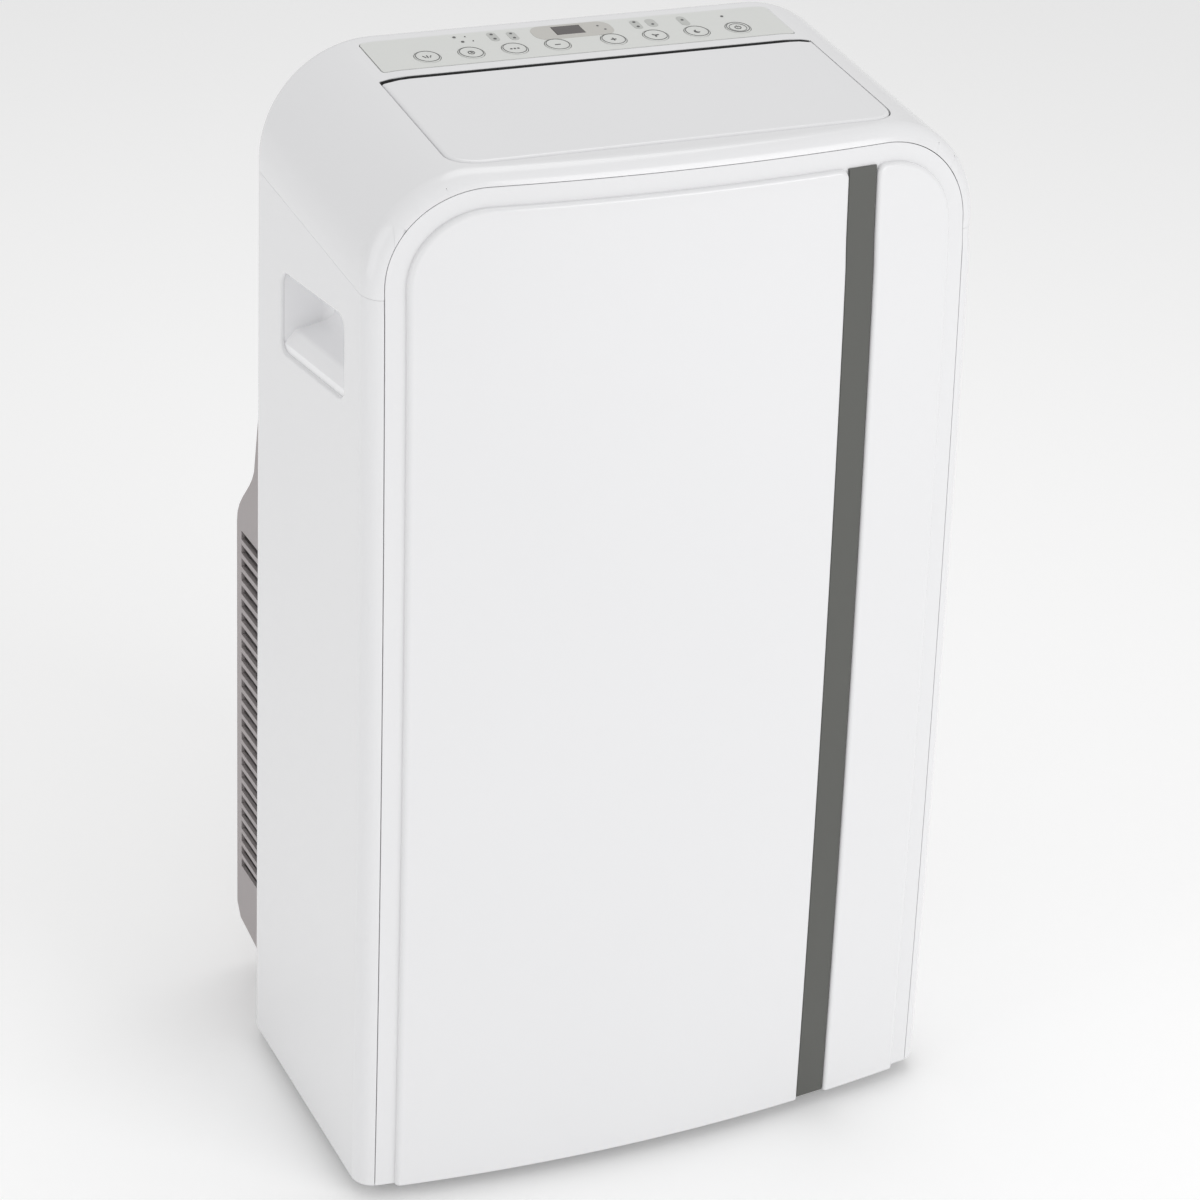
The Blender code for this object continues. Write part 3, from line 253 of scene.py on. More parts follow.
def casing_form(inset):
    """The whole casing as a full body, shrunk by an inset: bowed in front and rolled over at both ends."""
    half, high, front, rear = HALF_W - inset, HEIGHT - inset, Y_SEAM + inset, Y_REAR - inset
    body = arch_block(half, high, CORNER_R - inset, front, rear, -0.2 - inset * 10)
    turns = [math.radians(90 / 24 * k) for k in (1.5, 5.5, 9.5, 13.5)]
    bends = [HALF_W - CORNER_R + (CORNER_R - inset) * math.sin(turn) for turn in turns]
    slice_up(body, 1, [0])
    slice_up(body, 0, [0.018 * k for k in range(-7, 8)] + bends + [-x for x in bends],
             lambda spot: spot.y < -1e-4)
    moved(body, lambda p: Vector((p.x, bowed(p.x, p.y) if p.y < front + 1e-4 else p.y, p.z)))

    def rim(a, b, normals):
        ends = [n for n in normals if abs(n.y) > 0.9]
        return len(ends) == 1 and max(a.z, b.z) > -0.19
    return bevel(body, rim, EDGE_ROLL - inset, 8)


def flap_block(grow, rear_grow, low, high):
    half = FLAP_HALF + grow
    piece = slab("flap_block", (-half, FLAP_FRONT - grow, low), (half, FLAP_REAR + rear_grow, high))
    return bevel(piece, lambda a, b, _: max(a.y, b.y) < FLAP_FRONT - grow + 1e-5 and abs(a.z - b.z) > 0.001,
                 FLAP_CORNER + grow, 16)


def plate_block(grow, low, high):
    half = PLATE_HALF + grow
    piece = slab("plate_block", (-half, PLATE_FRONT - grow, low), (half, PLATE_REAR + grow, high))
    return bevel(piece, lambda a, b, _: abs(a.z - b.z) > 0.001, 0.003 + grow, 6)


def handle_rise(point):
    middle = (HANDLE_FRONT + HANDLE_REAR) / 2
    return point + Vector((0, 0, 0.011 * (middle - point.y) / (HANDLE_REAR - HANDLE_FRONT)))


def handle_block(side, grow, near, far, corner=0.009):
    ends = sorted((side * near, side * far))
    piece = slab("handle_block", (ends[0], HANDLE_FRONT - grow, HANDLE_LOW - grow),
                 (ends[1], HANDLE_REAR + grow, HANDLE_HIGH + grow))
    bevel(piece, lambda a, b, _: abs(a.x - b.x) > 0.001, corner + grow, 8)
    return moved(piece, handle_rise)


shell = casing_form(0)
opening = EDGE_ROLL - 0.001
rear_half, rear_top = 0.1943, 0.7069
rear_room = slab("rear_room", (-rear_half, Y_REAR - 0.02, -1), (rear_half, 1, rear_top))
cut(shell, casing_form(WALL), arch_block(HALF_W - opening, HEIGHT - opening, CORNER_R - opening, -1,
                                         Y_SEAM + EDGE_ROLL, -1), rear_room)
top_cover = twin(shell, "top_moulding")
cut(top_cover, slab("keep", (-1, -1, Z_SEAM + 0.0001), (1, 1, 1)), how="INTERSECT")
cut(top_cover, flap_block(0.0007, 0.0042, HEIGHT - 0.03, 1), plate_block(0.0004, HEIGHT - 0.03, 1))
sides = []
for side, name in ((-1, "left_moulding"), (1, "right_moulding")):
    wall = twin(shell, name)
    ends = sorted((side * 0.12, side))
    cut(wall, slab("keep", (ends[0], -1, Z_LOW), (ends[1], 1, Z_SEAM - 0.0001)), how="INTERSECT")
    cut(wall, handle_block(side, 0, HALF_W - 0.02, HALF_W + 0.02))
    bevel(wall, lambda a, b, n: min(abs(a.x), abs(b.x)) > HALF_W - 1e-4
          and HANDLE_LOW - 0.02 < a.z < HANDLE_HIGH + 0.02
          and HANDLE_FRONT - 0.005 < a.y < HANDLE_REAR + 0.005
          and len(n) == 2 and min(abs(m.x) for m in n) < 0.5, 0.0022, 5)
    slice_up(wall, 2, steps_between(Z_LOW, FALL_START, 9) + [FALL_START])
    sides.append(wall)
bpy.data.objects.remove(shell)


def grain_group():
    """The fine orange peel and slow tone drift of a moulded surface, as a height and a tone from 0 to 1."""
    group = bpy.data.node_groups.new("moulded_grain", "ShaderNodeTree")
    for name, start in (("Peel Scale", 900.0), ("Drift Scale", 6.0)):
        socket = group.interface.new_socket(name=name, in_out="INPUT", socket_type="NodeSocketFloat")
        socket.default_value = start
    for name in ("Height", "Tone"):
        group.interface.new_socket(name=name, in_out="OUTPUT", socket_type="NodeSocketFloat")
    node, wire = group.nodes.new, group.links.new
    given, result, place = node("NodeGroupInput"), node("NodeGroupOutput"), node("ShaderNodeTexCoord")
    peel, drift = node("ShaderNodeTexNoise"), node("ShaderNodeTexNoise")
    peel.inputs["Detail"].default_value = 2
    drift.inputs["Detail"].default_value = 3
    wire(place.outputs["Object"], peel.inputs["Vector"])
    wire(place.outputs["Object"], drift.inputs["Vector"])
    wire(given.outputs["Peel Scale"], peel.inputs["Scale"])
    wire(given.outputs["Drift Scale"], drift.inputs["Scale"])
    wire(peel.outputs["Fac"], result.inputs["Height"])
    wire(drift.outputs["Fac"], result.inputs["Tone"])
    return group


def wear_group():
    """Where edges are rubbed: a mask on the most convex places, broken up by a fine noise."""
    group = bpy.data.node_groups.new("rubbed_edges", "ShaderNodeTree")
    amount = group.interface.new_socket(name="Amount", in_out="INPUT", socket_type="NodeSocketFloat")
    amount.default_value = 0.3
    group.interface.new_socket(name="Mask", in_out="OUTPUT", socket_type="NodeSocketFloat")
    node, wire = group.nodes.new, group.links.new
    given, result, shape = node("NodeGroupInput"), node("NodeGroupOutput"), node("ShaderNodeNewGeometry")
    place, noise, ramp = node("ShaderNodeTexCoord"), node("ShaderNodeTexNoise"), node("ShaderNodeMapRange")
    ramp.inputs["From Min"].default_value = 0.53
    ramp.inputs["From Max"].default_value = 0.62
    noise.inputs["Scale"].default_value = 160
    both, scaled = node("ShaderNodeMath"), node("ShaderNodeMath")
    both.operation = scaled.operation = "MULTIPLY"
    wire(shape.outputs["Pointiness"], ramp.inputs["Value"])
    wire(place.outputs["Object"], noise.inputs["Vector"])
    wire(ramp.outputs["Result"], both.inputs[0])
    wire(noise.outputs["Fac"], both.inputs[1])
    wire(both.outputs["Value"], scaled.inputs[0])
    wire(given.outputs["Amount"], scaled.inputs[1])
    wire(scaled.outputs["Value"], result.inputs["Mask"])
    return group


def dust_group():
    """A thin film of house dust on surfaces that face up, thicker in drifts."""
    group = bpy.data.node_groups.new("settled_dust", "ShaderNodeTree")
    amount = group.interface.new_socket(name="Amount", in_out="INPUT", socket_type="NodeSocketFloat")
    amount.default_value = 0.2
    group.interface.new_socket(name="Mask", in_out="OUTPUT", socket_type="NodeSocketFloat")
    node, wire = group.nodes.new, group.links.new
    given, result, shape = node("NodeGroupInput"), node("NodeGroupOutput"), node("ShaderNodeNewGeometry")
    place, noise, parts = node("ShaderNodeTexCoord"), node("ShaderNodeTexNoise"), node("ShaderNodeSeparateXYZ")
    facing, both, scaled = node("ShaderNodeMapRange"), node("ShaderNodeMath"), node("ShaderNodeMath")
    facing.inputs["From Min"].default_value = 0.6
    noise.inputs["Scale"].default_value = 45
    noise.inputs["Detail"].default_value = 6
    both.operation = scaled.operation = "MULTIPLY"
    wire(shape.outputs["Normal"], parts.inputs["Vector"])
    wire(parts.outputs["Z"], facing.inputs["Value"])
    wire(place.outputs["Object"], noise.inputs["Vector"])
    wire(facing.outputs["Result"], both.inputs[0])
    wire(noise.outputs["Fac"], both.inputs[1])
    wire(both.outputs["Value"], scaled.inputs[0])
    wire(given.outputs["Amount"], scaled.inputs[1])
    wire(scaled.outputs["Value"], result.inputs["Mask"])
    return group


moulded_grain, rubbed_edges, settled_dust = grain_group(), wear_group(), dust_group()


def moulded(name, color, roughness, peel=900.0, depth=0.00001, drift=0.03, wear=0.2, dust=0.15, coat=0.0,
            metallic=0.0, spread=0.06):
    """A moulded, cast or rolled finish: its colour drifts a little, with peel, rubbed edges and a film of dust."""
    made = bpy.data.materials.new(name)
    made.use_nodes = True
    made.diffuse_color = (*color, 1)
    node, wire = made.node_tree.nodes.new, made.node_tree.links.new
    shader = made.node_tree.nodes["Principled BSDF"]
    shader.inputs["Metallic"].default_value = metallic
    shader.inputs["Coat Weight"].default_value = coat
    shader.inputs["Coat Roughness"].default_value = 0.08
    grain, worn, dusty = node("ShaderNodeGroup"), node("ShaderNodeGroup"), node("ShaderNodeGroup")
    grain.node_tree, worn.node_tree, dusty.node_tree = moulded_grain, rubbed_edges, settled_dust
    grain.inputs["Peel Scale"].default_value = peel
    worn.inputs["Amount"].default_value = wear
    dusty.inputs["Amount"].default_value = dust
    tone, rubbed, dull = node("ShaderNodeMix"), node("ShaderNodeMix"), node("ShaderNodeMix")
    for mix in (tone, rubbed, dull):
        mix.data_type = "RGBA"
    tone.inputs["A"].default_value = (*[c * (1 - drift) for c in color], 1)
    tone.inputs["B"].default_value = (*[min(c * (1 + drift), 1) for c in color], 1)
    rubbed.inputs["B"].default_value = (*[min(c * 1.15 + 0.04, 0.95) for c in color], 1)
    dull.inputs["B"].default_value = (0.62, 0.60, 0.57, 1)
    wire(grain.outputs["Tone"], tone.inputs["Factor"])
    wire(worn.outputs["Mask"], rubbed.inputs["Factor"])
    wire(dusty.outputs["Mask"], dull.inputs["Factor"])
    wire(tone.outputs["Result"], rubbed.inputs["A"])
    wire(rubbed.outputs["Result"], dull.inputs["A"])
    wire(dull.outputs["Result"], shader.inputs["Base Color"])
    rough = node("ShaderNodeMapRange")
    rough.inputs["To Min"].default_value = max(roughness - spread, 0.02)
    rough.inputs["To Max"].default_value = min(roughness + spread, 1)
    wire(grain.outputs["Tone"], rough.inputs["Value"])
    wire(rough.outputs["Result"], shader.inputs["Roughness"])
    bump = node("ShaderNodeBump")
    bump.inputs["Strength"].default_value = 0.25
    bump.inputs["Distance"].default_value = depth
    wire(grain.outputs["Height"], bump.inputs["Height"])
    wire(bump.outputs["Normal"], shader.inputs["Normal"])
    return made


def fit_out(piece, finish, body, slot, *nodes):
    """Gives a piece its finish and its body, and hides the CAD nodes that it stands for; the slot argument is not used.
    """
    piece.data.materials.clear()
    piece.data.materials.append(finish)
    for face in piece.data.polygons:
        face.material_index = 0
    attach(piece, body)
    if nodes:
        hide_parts(*nodes)
    return piece


white = moulded("white_gloss_plastic", (0.80, 0.80, 0.81), 0.24, peel=700, depth=0.00002, drift=0.008, wear=0.1,
                dust=0.03, coat=0.35)
soften(moved(top_cover, casing_lines))
fit_out(top_cover, white, "casing", "white_gloss_plastic", "top_cover")
for wall, node in zip(sides, ("left_side_panel", "right_side_panel")):
    soften(moved(wall, casing_lines))
    fit_out(wall, white, "casing", "white_gloss_plastic", node)

# Behind each handle opening a white cup is clipped to the panel's inside. Its floor slopes down to the mouth, and
# its inner corners are large and soft, so that fingers hook over the panel's upper edge.
cup_lip, cup_wall, cup_near, cup_far = 0.005, 0.0025, 0.1747, 0.2112
# The cup's plastic is the casing's white painted lighter: painted light, standing in for the light that falls into the
# recess.
cup_white_painted_light = moulded("grip_cup_white_painted_light", (0.93, 0.93, 0.94), 0.30, peel=700, depth=0.00002, drift=0.008, wear=0.1,
                    dust=0.03, coat=0.2)
for side, name in ((-1, "left"), (1, "right")):
    cup = handle_block(side, cup_lip, cup_near, cup_far)
    cup.name = cup.data.name = name + "_grip_cup"
    deep, mouth = sorted((side * (cup_near + cup_wall), side * (cup_far + 0.02)))
    scoop = slab("scoop", (deep, HANDLE_FRONT, HANDLE_LOW), (mouth, HANDLE_REAR, HANDLE_HIGH))
    lip_x, inner_x = side * (cup_far - 0.008), side * (cup_near + cup_wall)
    slice_up(scoop, 0, [lip_x])

    def slope(p):
        if p.z > (HANDLE_LOW + HANDLE_HIGH) / 2:
            return p + Vector((0, 0, 0.0025)) if abs(p.x - inner_x) < 1e-4 else p
        lift = 0.018 if abs(p.x - inner_x) < 1e-4 else 0.013 if abs(p.x - lip_x) < 1e-4 else -0.015
        return p + Vector((0, 0, lift))
    moved(scoop, slope)
    bevel(scoop, lambda a, b, _: max(abs(a.x - inner_x), abs(b.x - inner_x)) < 1e-4, 0.0095, 8)
    bevel(scoop, lambda a, b, _: max(abs(a.x - lip_x), abs(b.x - lip_x)) < 1e-4
          and max(a.z, b.z) < HANDLE_LOW + 0.02, 0.002, 4)
    moved(scoop, handle_rise)
    cut(cup, scoop)
    soften(moved(cup, casing_lines), 0.0004, 2, 40)
    fit_out(cup, cup_white_painted_light, "casing", "white_gloss_plastic", name + "_handle_cup")

# The front panel is one bowed white moulding, clipped into the casing: a low border, and two raised pads with
# soft edges that stand each side of the stripe. It leans out a little towards the floor.
panel_edge, border, rise, panel_thick = 0.0115, 0.013, 0.004, 0.003
stripe_x, stripe_half = HALF_W - 0.095, 0.011
front_panel = arch_block(HALF_W - panel_edge, HEIGHT - panel_edge, CORNER_R - panel_edge, Y_SEAM,
                         Y_SEAM + panel_thick, Z_LOW)
front_panel.name = front_panel.data.name = "front_moulding"
inset = panel_edge + border
pad_half, pad_high, pad_r = HALF_W - inset, HEIGHT - inset, CORNER_R - inset
for low_x, high_x, outer in ((-pad_half, stripe_x - stripe_half, -1), (stripe_x + stripe_half, pad_half, 1)):
    pad = slab("pad", (low_x, Y_SEAM - rise, Z_LOW - 0.02), (high_x, Y_SEAM + 0.001, pad_high))
    outer_x, inner_x = (low_x, high_x) if outer < 0 else (high_x, low_x)

    def top_corner(at):
        return lambda a, b, _: min(a.z, b.z) > pad_high - 1e-5 and abs(a.x - at) < 1e-5 and abs(b.x - at) < 1e-5
    bevel(pad, top_corner(outer_x), pad_r if outer < 0 else 0.050, 20)
    bevel(pad, top_corner(inner_x), 0.007, 8)
    bevel(pad, lambda a, b, n: max(a.y, b.y) < Y_SEAM - rise + 1e-5 and min(a.z, b.z) > Z_LOW - 0.021
          and not (a.z < Z_LOW and b.z < Z_LOW), 0.0030, 6)
    cut(front_panel, pad, how="UNION")
cut(front_panel, slab("keep", (-1, -1, Z_LOW), (1, 1, 1)), how="INTERSECT")
slice_up(front_panel, 0, steps_between(-HALF_W, HALF_W, 30))
slice_up(front_panel, 2, steps_between(Z_LOW, HEIGHT, 20))
moved(front_panel, lambda p: casing_lines(Vector((p.x, bowed(p.x, p.y), p.z))))
soften(front_panel, 0.0005, 2, 40)
fit_out(front_panel, white, "casing", "white_gloss_plastic", "front_panel")

# The dark stripe is a long strip of satin plastic pressed into the groove between the two pads.
# Its face lies about 2 mm below theirs.
stripe = slab("stripe_strip", (stripe_x - stripe_half + 0.0004, Y_SEAM - 0.0019, Z_LOW + 0.0004),
              (stripe_x + stripe_half - 0.0004, Y_SEAM - 0.0001, pad_high - 0.0006))
bevel(stripe, lambda a, b, _: max(a.y, b.y) < Y_SEAM - 0.0018, 0.0005, 2)
slice_up(stripe, 2, steps_between(Z_LOW, HEIGHT, 20))
moved(stripe, lambda p: casing_lines(Vector((p.x, bowed(p.x, p.y), p.z))))
soften(stripe, 0)
stripe_plastic = moulded("stripe_plastic", (0.088, 0.090, 0.082), 0.42, peel=1400, depth=0.00002, drift=0.05,
                         wear=0.2, dust=0.05)
fit_out(stripe, stripe_plastic, "casing", "stripe_plastic", "stripe_insert")

# The louver flap is a thin white lid with a rolled rim. Two lugs under its rear corners carry its steel pins,
# which turn in the duct's side walls.
flap_thick, flap_proud = 0.004, 0.0008
flap = flap_block(0, 0, HEIGHT + flap_proud - flap_thick, HEIGHT + flap_proud)
flap.name = flap.data.name = "flap_lid"
slice_up(flap, 0, steps_between(-FLAP_HALF, FLAP_HALF, 28) + [-0.137, 0.137])
bevel(flap, lambda a, b, n: min(a.z, b.z) > HEIGHT + flap_proud - 1e-5 and len(n) == 2
      and min(n[0].z, n[1].z) < 0.5, 0.0026, 6)


def arch_drop(point):
    """Follows the casing's rounded top corners."""
    out = abs(point.x) - (HALF_W - CORNER_R)
    drop = CORNER_R - math.sqrt(max(CORNER_R ** 2 - out ** 2, 0)) if out > 0 else 0
    return Vector((point.x, point.y, point.z - drop))


pin_y, pin_z = FLAP_REAR - 0.0045, HEIGHT - 0.006
moved(flap, arch_drop)
for side in (-1, 1):
    ends = sorted((side * 0.1355, side * 0.144))
    lug = slab("lug", (ends[0], pin_y - 0.0022, pin_z - 0.0022), (ends[1], pin_y + 0.0022, HEIGHT - 0.002))
    bevel(lug, lambda a, b, _: abs(a.x - b.x) > 0.001 and max(a.z, b.z) < pin_z, 0.0018, 4)
    ends = sorted((side * 0.1375, side * 0.1475))
    relief = sorted((side * 0.1447, side * 0.1478))
    cut(flap, disc("relief", (pin_y, pin_z), 0.0034, *relief, 28, "X"))
    cut(flap, lug, disc("pin", (pin_y, pin_z), 0.0018, *ends, 20, "X"), how="UNION")
soften(moved(flap, top_lines), 0, 2, 40)
fit_out(flap, white, "flap", "white_gloss_plastic", "louver_flap")

# Behind the flap a thin strip with a black rubber finish lies against the top cover's cut edge, and is seen through the
# gap: painted shade, a dark sheet standing in for the shade of the gap.
gap_shade_strip = slab("outlet_gap_shade_strip", (-0.1545, FLAP_REAR + 0.0036, HEIGHT - 0.0060),
            (0.1545, FLAP_REAR + 0.0041, HEIGHT - 0.0003))
bevel(gap_shade_strip, lambda a, b, _: min(a.z, b.z) > HEIGHT - 0.001 and abs(a.x - b.x) > 0.01, 0.0002, 2)
slice_up(gap_shade_strip, 0, [0.0135 * k for k in range(-11, 12)])
moved(gap_shade_strip, arch_drop)
soften(moved(gap_shade_strip, top_lines), 0)
# The strip's near-black is painted shade for the gap behind the flap.
gap_shade_black = moulded("gap_shade_black", (0.025, 0.025, 0.026), 0.75, peel=1600, depth=0.00005, drift=0.1, wear=0.0,
                      dust=0.05)
fit_out(gap_shade_strip, gap_shade_black, "casing", "black_rubber")

# The control plate is a satin grey-green strip let into the top. Its keys are round caps of the same plastic, each with
# a dished top, in a clearance hole;
# generic signs are printed on them, and a thin dark ring round each cap's edge is painted shade for the clearance gap.
plate_plastic = moulded("plate_plastic", (0.69, 0.70, 0.68), 0.34, peel=1500, depth=0.00002, drift=0.01, wear=0.1,
                        dust=0.04)
key_y, key_r = Y_SEAM + 0.155, 0.0087
key_x = [-(0.0203 + 0.0308 * k) for k in (3, 2, 1, 0)] + [0.0203 + 0.0308 * k for k in range(4)]
key_names = ["key_" + name for name in ("swing", "timer", "mode", "minus", "plus", "fan", "sleep", "power")]
plate = plate_block(-0.0002, HEIGHT - 0.0030, HEIGHT + 0.0003)
plate.name = plate.data.name = "control_strip"
slice_up(plate, 0, [-0.143, -0.137, 0.137, 0.143])
moved(plate, arch_drop)
cut(plate, *[disc("hole", (x, key_y), key_r + 0.0005, 0.7, 0.8) for x in key_x])
cut(plate, slab("pane_hole", (-0.0144, Y_SEAM + 0.1689, 0.7), (0.0064, Y_SEAM + 0.1821, 0.8)))
soften(moved(plate, top_lines), 0.00025, 2)
fit_out(plate, plate_plastic, "casing", "plate_plastic", "control_plate")

first_key = disc("key_cap", (0, key_y), key_r, HEIGHT - 0.0032, HEIGHT + 0.0007)
bevel(first_key, lambda a, b, n: min(a.z, b.z) > HEIGHT and len(n) == 2 and min(n[0].z, n[1].z) < 0.5, 0.0006, 3)
take(first_key)
bpy.ops.object.mode_set(mode="EDIT")
bpy.ops.mesh.select_mode(type="FACE")
bpy.ops.mesh.select_all(action="DESELECT")
cap_mesh = bmesh.from_edit_mesh(first_key.data)
for face in cap_mesh.faces:
    if face.normal.z > 0.99 and face.calc_area() > 1e-5:
        face.select_set(True)
bmesh.update_edit_mesh(first_key.data)
bpy.ops.mesh.inset(thickness=0.0008)
bpy.ops.mesh.inset(thickness=0.0012)
bpy.ops.transform.translate(value=(0, 0, -0.0003))
bpy.ops.object.mode_set(mode="OBJECT")
cut(first_key, disc("stem", (0, key_y), 0.003, HEIGHT - 0.0062, HEIGHT - 0.003, 20), how="UNION")
print_and_edge_shade_grey = moulded("sign_print_and_edge_shade", (0.10, 0.10, 0.10), 0.45, peel=1500, depth=0.000005, drift=0.05, wear=0.0,
                    dust=0.0)
sign_z = HEIGHT + 0.0003


def bar(x, y, half_x, half_y, turn=0.0):
    piece = slab("bar", (-half_x, -half_y, sign_z), (half_x, half_y, sign_z + 0.0003))
    spin = Matrix.Rotation(turn, 4, "Z")
    return moved(piece, lambda p: spin @ p + Vector((x, y, 0)))


def ring(x, y, outer, inner, sides=40):
    return cut(disc("ring", (x, y), outer, sign_z, sign_z + 0.0003, sides),
               disc("hole", (x, y), inner, sign_z - 0.01, sign_z + 0.01, sides))


def signs(name):
    """A generic sign for each key, drawn about the key's middle."""
    if name == "key_swing":
        return [bar(-0.0022, 0, 0.0003, 0.0016, 0.5), bar(0, 0, 0.0003, 0.0019),
                bar(0.0022, 0, 0.0003, 0.0016, -0.5)]
    if name == "key_timer":
        return [ring(0, 0, 0.0024, 0.0019), bar(0, 0.0007, 0.0003, 0.0009), bar(0.0006, 0, 0.0007, 0.0003)]
    if name == "key_mode":
        return [disc("dot", (x, 0), 0.0008, sign_z, sign_z + 0.0003, 16) for x in (-0.0025, 0, 0.0025)]
    if name == "key_minus":
        return [bar(0, 0, 0.0020, 0.0004)]
    if name == "key_plus":
        return [bar(0, 0, 0.0020, 0.0004), bar(0, 0, 0.0004, 0.0020)]
    if name == "key_fan":
        return [bar(0.0013 * math.cos(a), 0.0013 * math.sin(a), 0.0013, 0.0005, a) for a in (0.3, 2.4, 4.5)]
    if name == "key_sleep":
        return [cut(disc("moon", (0, 0), 0.0022, sign_z, sign_z + 0.0003, 32),
                    disc("bite", (0.0012, 0.0008), 0.0018, sign_z - 0.01, sign_z + 0.01, 32))]
    return [cut(ring(0, 0, 0.0024, 0.0019), bar(0, 0.002, 0.0008, 0.002)), bar(0, 0.0017, 0.0003, 0.0013)]


def joined(pieces, name):
    """One object made of several that lie apart."""
    let_go()
    for piece in pieces:
        piece.select_set(True)
    bpy.context.view_layer.objects.active = pieces[0]
    if len(pieces) > 1:
        bpy.ops.object.join()
    pieces[0].name = pieces[0].data.name = name
    return pieces[0]


for name, x in zip(key_names, key_x):
    marks = signs(name)
    # A thin dark ring round the cap's edge: painted shade, standing in for the shade of the clearance gap around the
    # key.
    marks.append(ring(0, 0, 0.0081, 0.0076, 56))
    if name == "key_power":
        marks.append(ring(0, 0, 0.0062, 0.0059, 56))
    sign = joined(marks, name + "_sign")
    moved(sign, lambda p: top_lines(p + Vector((x, key_y, 0.0003 if p.x ** 2 + p.y ** 2 > 0.0072 ** 2
                                                else 0.00005))))
    soften(sign, 0)
    fit_out(sign, print_and_edge_shade_grey, name, "stripe_plastic")
    key = twin(first_key, name + "_cap")
    moved(key, lambda p: top_lines(p + Vector((x, 0, 0))))
    soften(key, 0, 2, 40)
    fit_out(key, plate_plastic, name, "plate_plastic", name)
bpy.data.objects.remove(first_key)

# The display: a grey surround printed on the plate, and a smoked pane over the digits, which are off.
# Beside it lie small grey windows and dots, behind which the status lamps sit.
smoked = moulded("smoked_window", (0.030, 0.020, 0.019), 0.16, peel=300, depth=0.000005, drift=0.02, wear=0.0,
                 dust=0.02, coat=0.6)
pane = slab("display_pane", (-0.01415, Y_SEAM + 0.1691, HEIGHT - 0.003),
            (0.00615, Y_SEAM + 0.1819, HEIGHT + 0.0006))
bevel(pane, lambda a, b, _: abs(a.z - b.z) > 0.001, 0.0015, 4)
soften(moved(pane, top_lines), 0.0003, 2)
fit_out(pane, smoked, "casing", "smoked_window", "display_window")
surround_grey = moulded("display_surround", (0.53, 0.52, 0.49), 0.4, peel=1500, depth=0.00001, drift=0.01, wear=0.0,
                        dust=0.03)
surround = slab("display_surround", (-0.0305, Y_SEAM + 0.1635, HEIGHT + 0.0002),
                (0.0275, Y_SEAM + 0.1845, HEIGHT + 0.0005))
bevel(surround, lambda a, b, _: abs(a.z - b.z) > 0.0001, 0.0085, 10)
cut(surround, slab("pane_hole", (-0.0144, Y_SEAM + 0.169, 0.7), (0.0064, Y_SEAM + 0.182, 0.8)))
soften(moved(surround, top_lines), 0)
fit_out(surround, surround_grey, "casing", "plate_plastic")
lamp_windows = []
for x, y, half_x, half_y in ((-0.058, 0.1755, 0.0032, 0.0068), (-0.0445, 0.1742, 0.0032, 0.0065),
                             (0.0455, 0.1740, 0.0032, 0.0068), (0.0570, 0.1745, 0.0036, 0.0062),
                             (0.0800, 0.1730, 0.0032, 0.0072)):
    window = slab("lamp_window", (x - half_x, Y_SEAM + y - half_y, HEIGHT + 0.0002),
                  (x + half_x, Y_SEAM + y + half_y, HEIGHT + 0.0005))
    bevel(window, lambda a, b, _: abs(a.z - b.z) > 0.0001, half_x * 0.95, 6)
    lamp_windows.append(window)
windows = joined(lamp_windows, "status_windows")
soften(moved(windows, top_lines), 0)
window_grey = moulded("status_window_grey", (0.50, 0.51, 0.49), 0.3, peel=1500, depth=0.00001, drift=0.01, wear=0.0,
                      dust=0.02)
fit_out(windows, window_grey, "casing", "plate_plastic")
dots = []
for x, y, size in ((-0.084, 0.1800, 0.0011), (-0.081, 0.1722, 0.0011), (-0.0765, 0.1795, 0.0005),
                   (-0.0735, 0.1722, 0.0005), (-0.058, 0.1790, 0.0011), (-0.058, 0.1722, 0.0011),
                   (-0.0445, 0.1778, 0.0010), (-0.0445, 0.1710, 0.0010), (0.0455, 0.1778, 0.0011),
                   (0.0455, 0.1706, 0.0011), (0.0570, 0.1722, 0.0010), (0.0800, 0.1745, 0.0010),
                   (0.0185, 0.1775, 0.0008), (0.0215, 0.1712, 0.0008), (0.1100, 0.1745, 0.0010)):
    dots.append(disc("dot", (x, Y_SEAM + y), size, HEIGHT + 0.0004, HEIGHT + 0.0007, 18))
dots = joined(dots, "status_dots")
soften(moved(dots, top_lines), 0)
fit_out(dots, print_and_edge_shade_grey, "casing", "stripe_plastic")

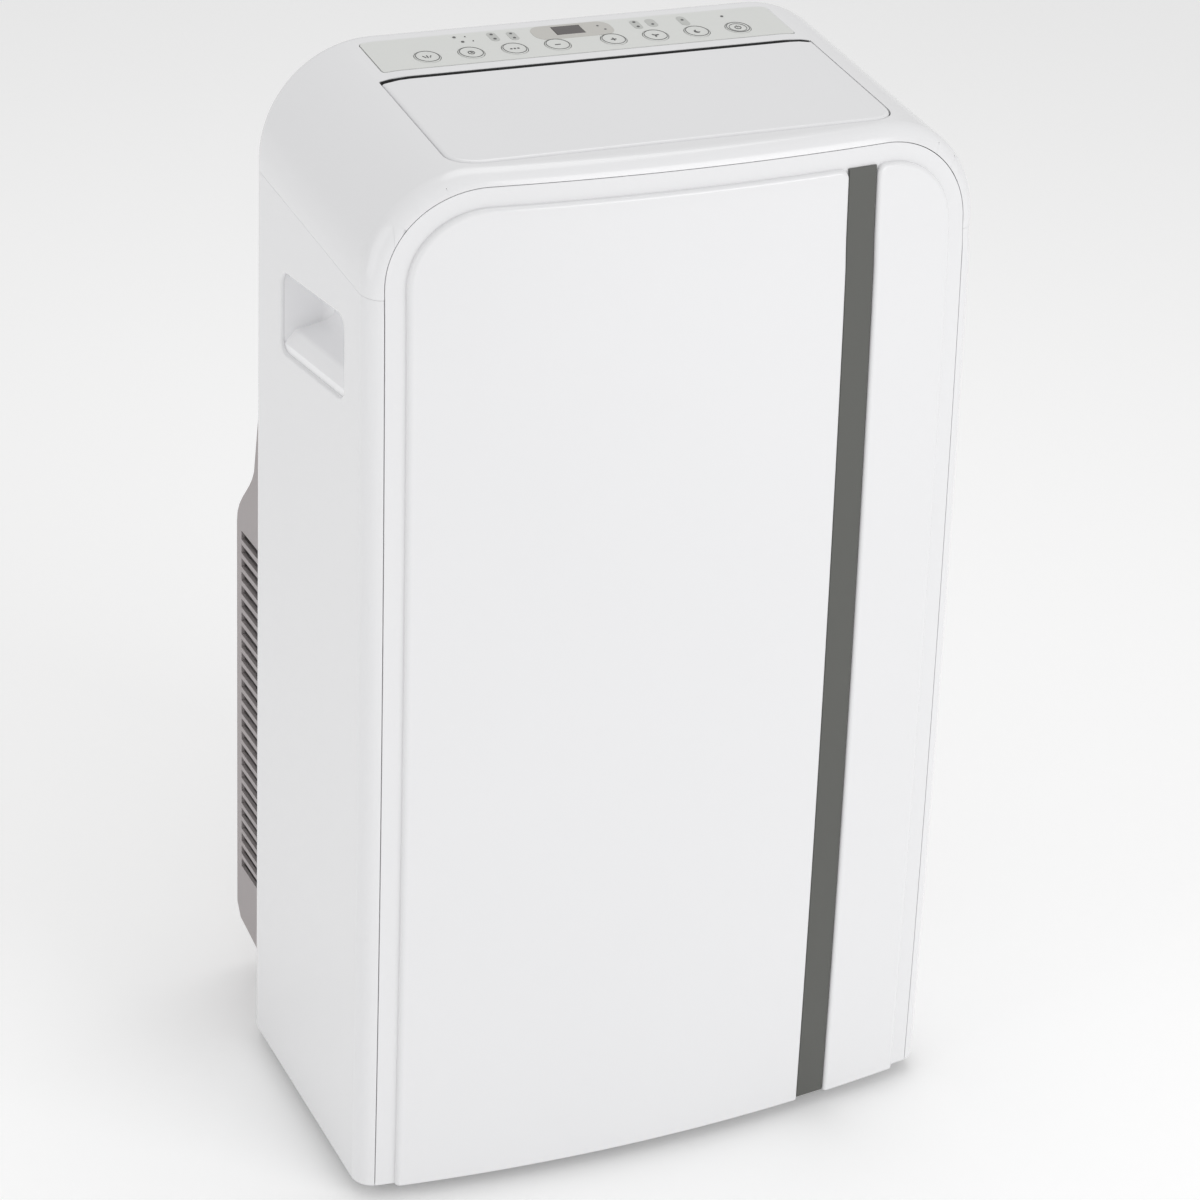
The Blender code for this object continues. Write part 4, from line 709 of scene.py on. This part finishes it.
# The grey parts behind, the rubber, the metal and what is inside keep the shapes that they were built with.
# They are moulded, pressed or drawn parts, each with its own finish.
warm_grey = moulded("warm_grey_plastic", (0.36, 0.33, 0.33), 0.48, peel=1200, depth=0.00005, drift=0.04, wear=0.25,
                    dust=0.12)
dark_grey = moulded("dark_grey_plastic", (0.09, 0.09, 0.092), 0.5, peel=1100, depth=0.00006, drift=0.06, wear=0.3,
                    dust=0.15)
black = moulded("black_plastic", (0.028, 0.028, 0.030), 0.5, peel=1100, depth=0.00005, drift=0.08, wear=0.25, dust=0.12)
rubber = moulded("black_rubber", (0.020, 0.020, 0.021), 0.78, peel=1600, depth=0.00008, drift=0.1, wear=0.1, dust=0.3)
steel = moulded("zinc_plated_steel", (0.56, 0.57, 0.58), 0.34, peel=260, depth=0.00002, drift=0.12, wear=0.2,
                dust=0.1, metallic=1.0, spread=0.1)
fins = moulded("fin_aluminium", (0.74, 0.75, 0.77), 0.36, peel=420, depth=0.00004, drift=0.08, wear=0.1, dust=0.1,
               metallic=1.0, spread=0.08)
copper = moulded("copper_pipe", (0.70, 0.36, 0.22), 0.28, peel=500, depth=0.00002, drift=0.14, wear=0.1, dust=0.05,
                 metallic=1.0, spread=0.1)
paint = moulded("compressor_paint", (0.022, 0.022, 0.024), 0.34, peel=500, depth=0.00006, drift=0.08, wear=0.2,
                dust=0.2)
board = moulded("circuit_board", (0.02, 0.14, 0.055), 0.42, peel=800, depth=0.00003, drift=0.08, wear=0.1,
                dust=0.08)
finishes = {"white_gloss_plastic": white, "plate_plastic": plate_plastic, "warm_grey_plastic": warm_grey,
            "stripe_plastic": stripe_plastic, "smoked_window": smoked, "dark_grey_plastic": dark_grey,
            "black_plastic": black, "black_rubber": rubber, "zinc_plated_steel": steel, "fin_aluminium": fins,
            "copper_pipe": copper, "compressor_paint": paint, "circuit_board": board}
for part in frame["record"]["subparts"]:
    node = frame["nodes"][part["node"]]
    for place in range(len(node.data.materials)):
        node.material_slots[place].material = finishes[part["material_slot"]]
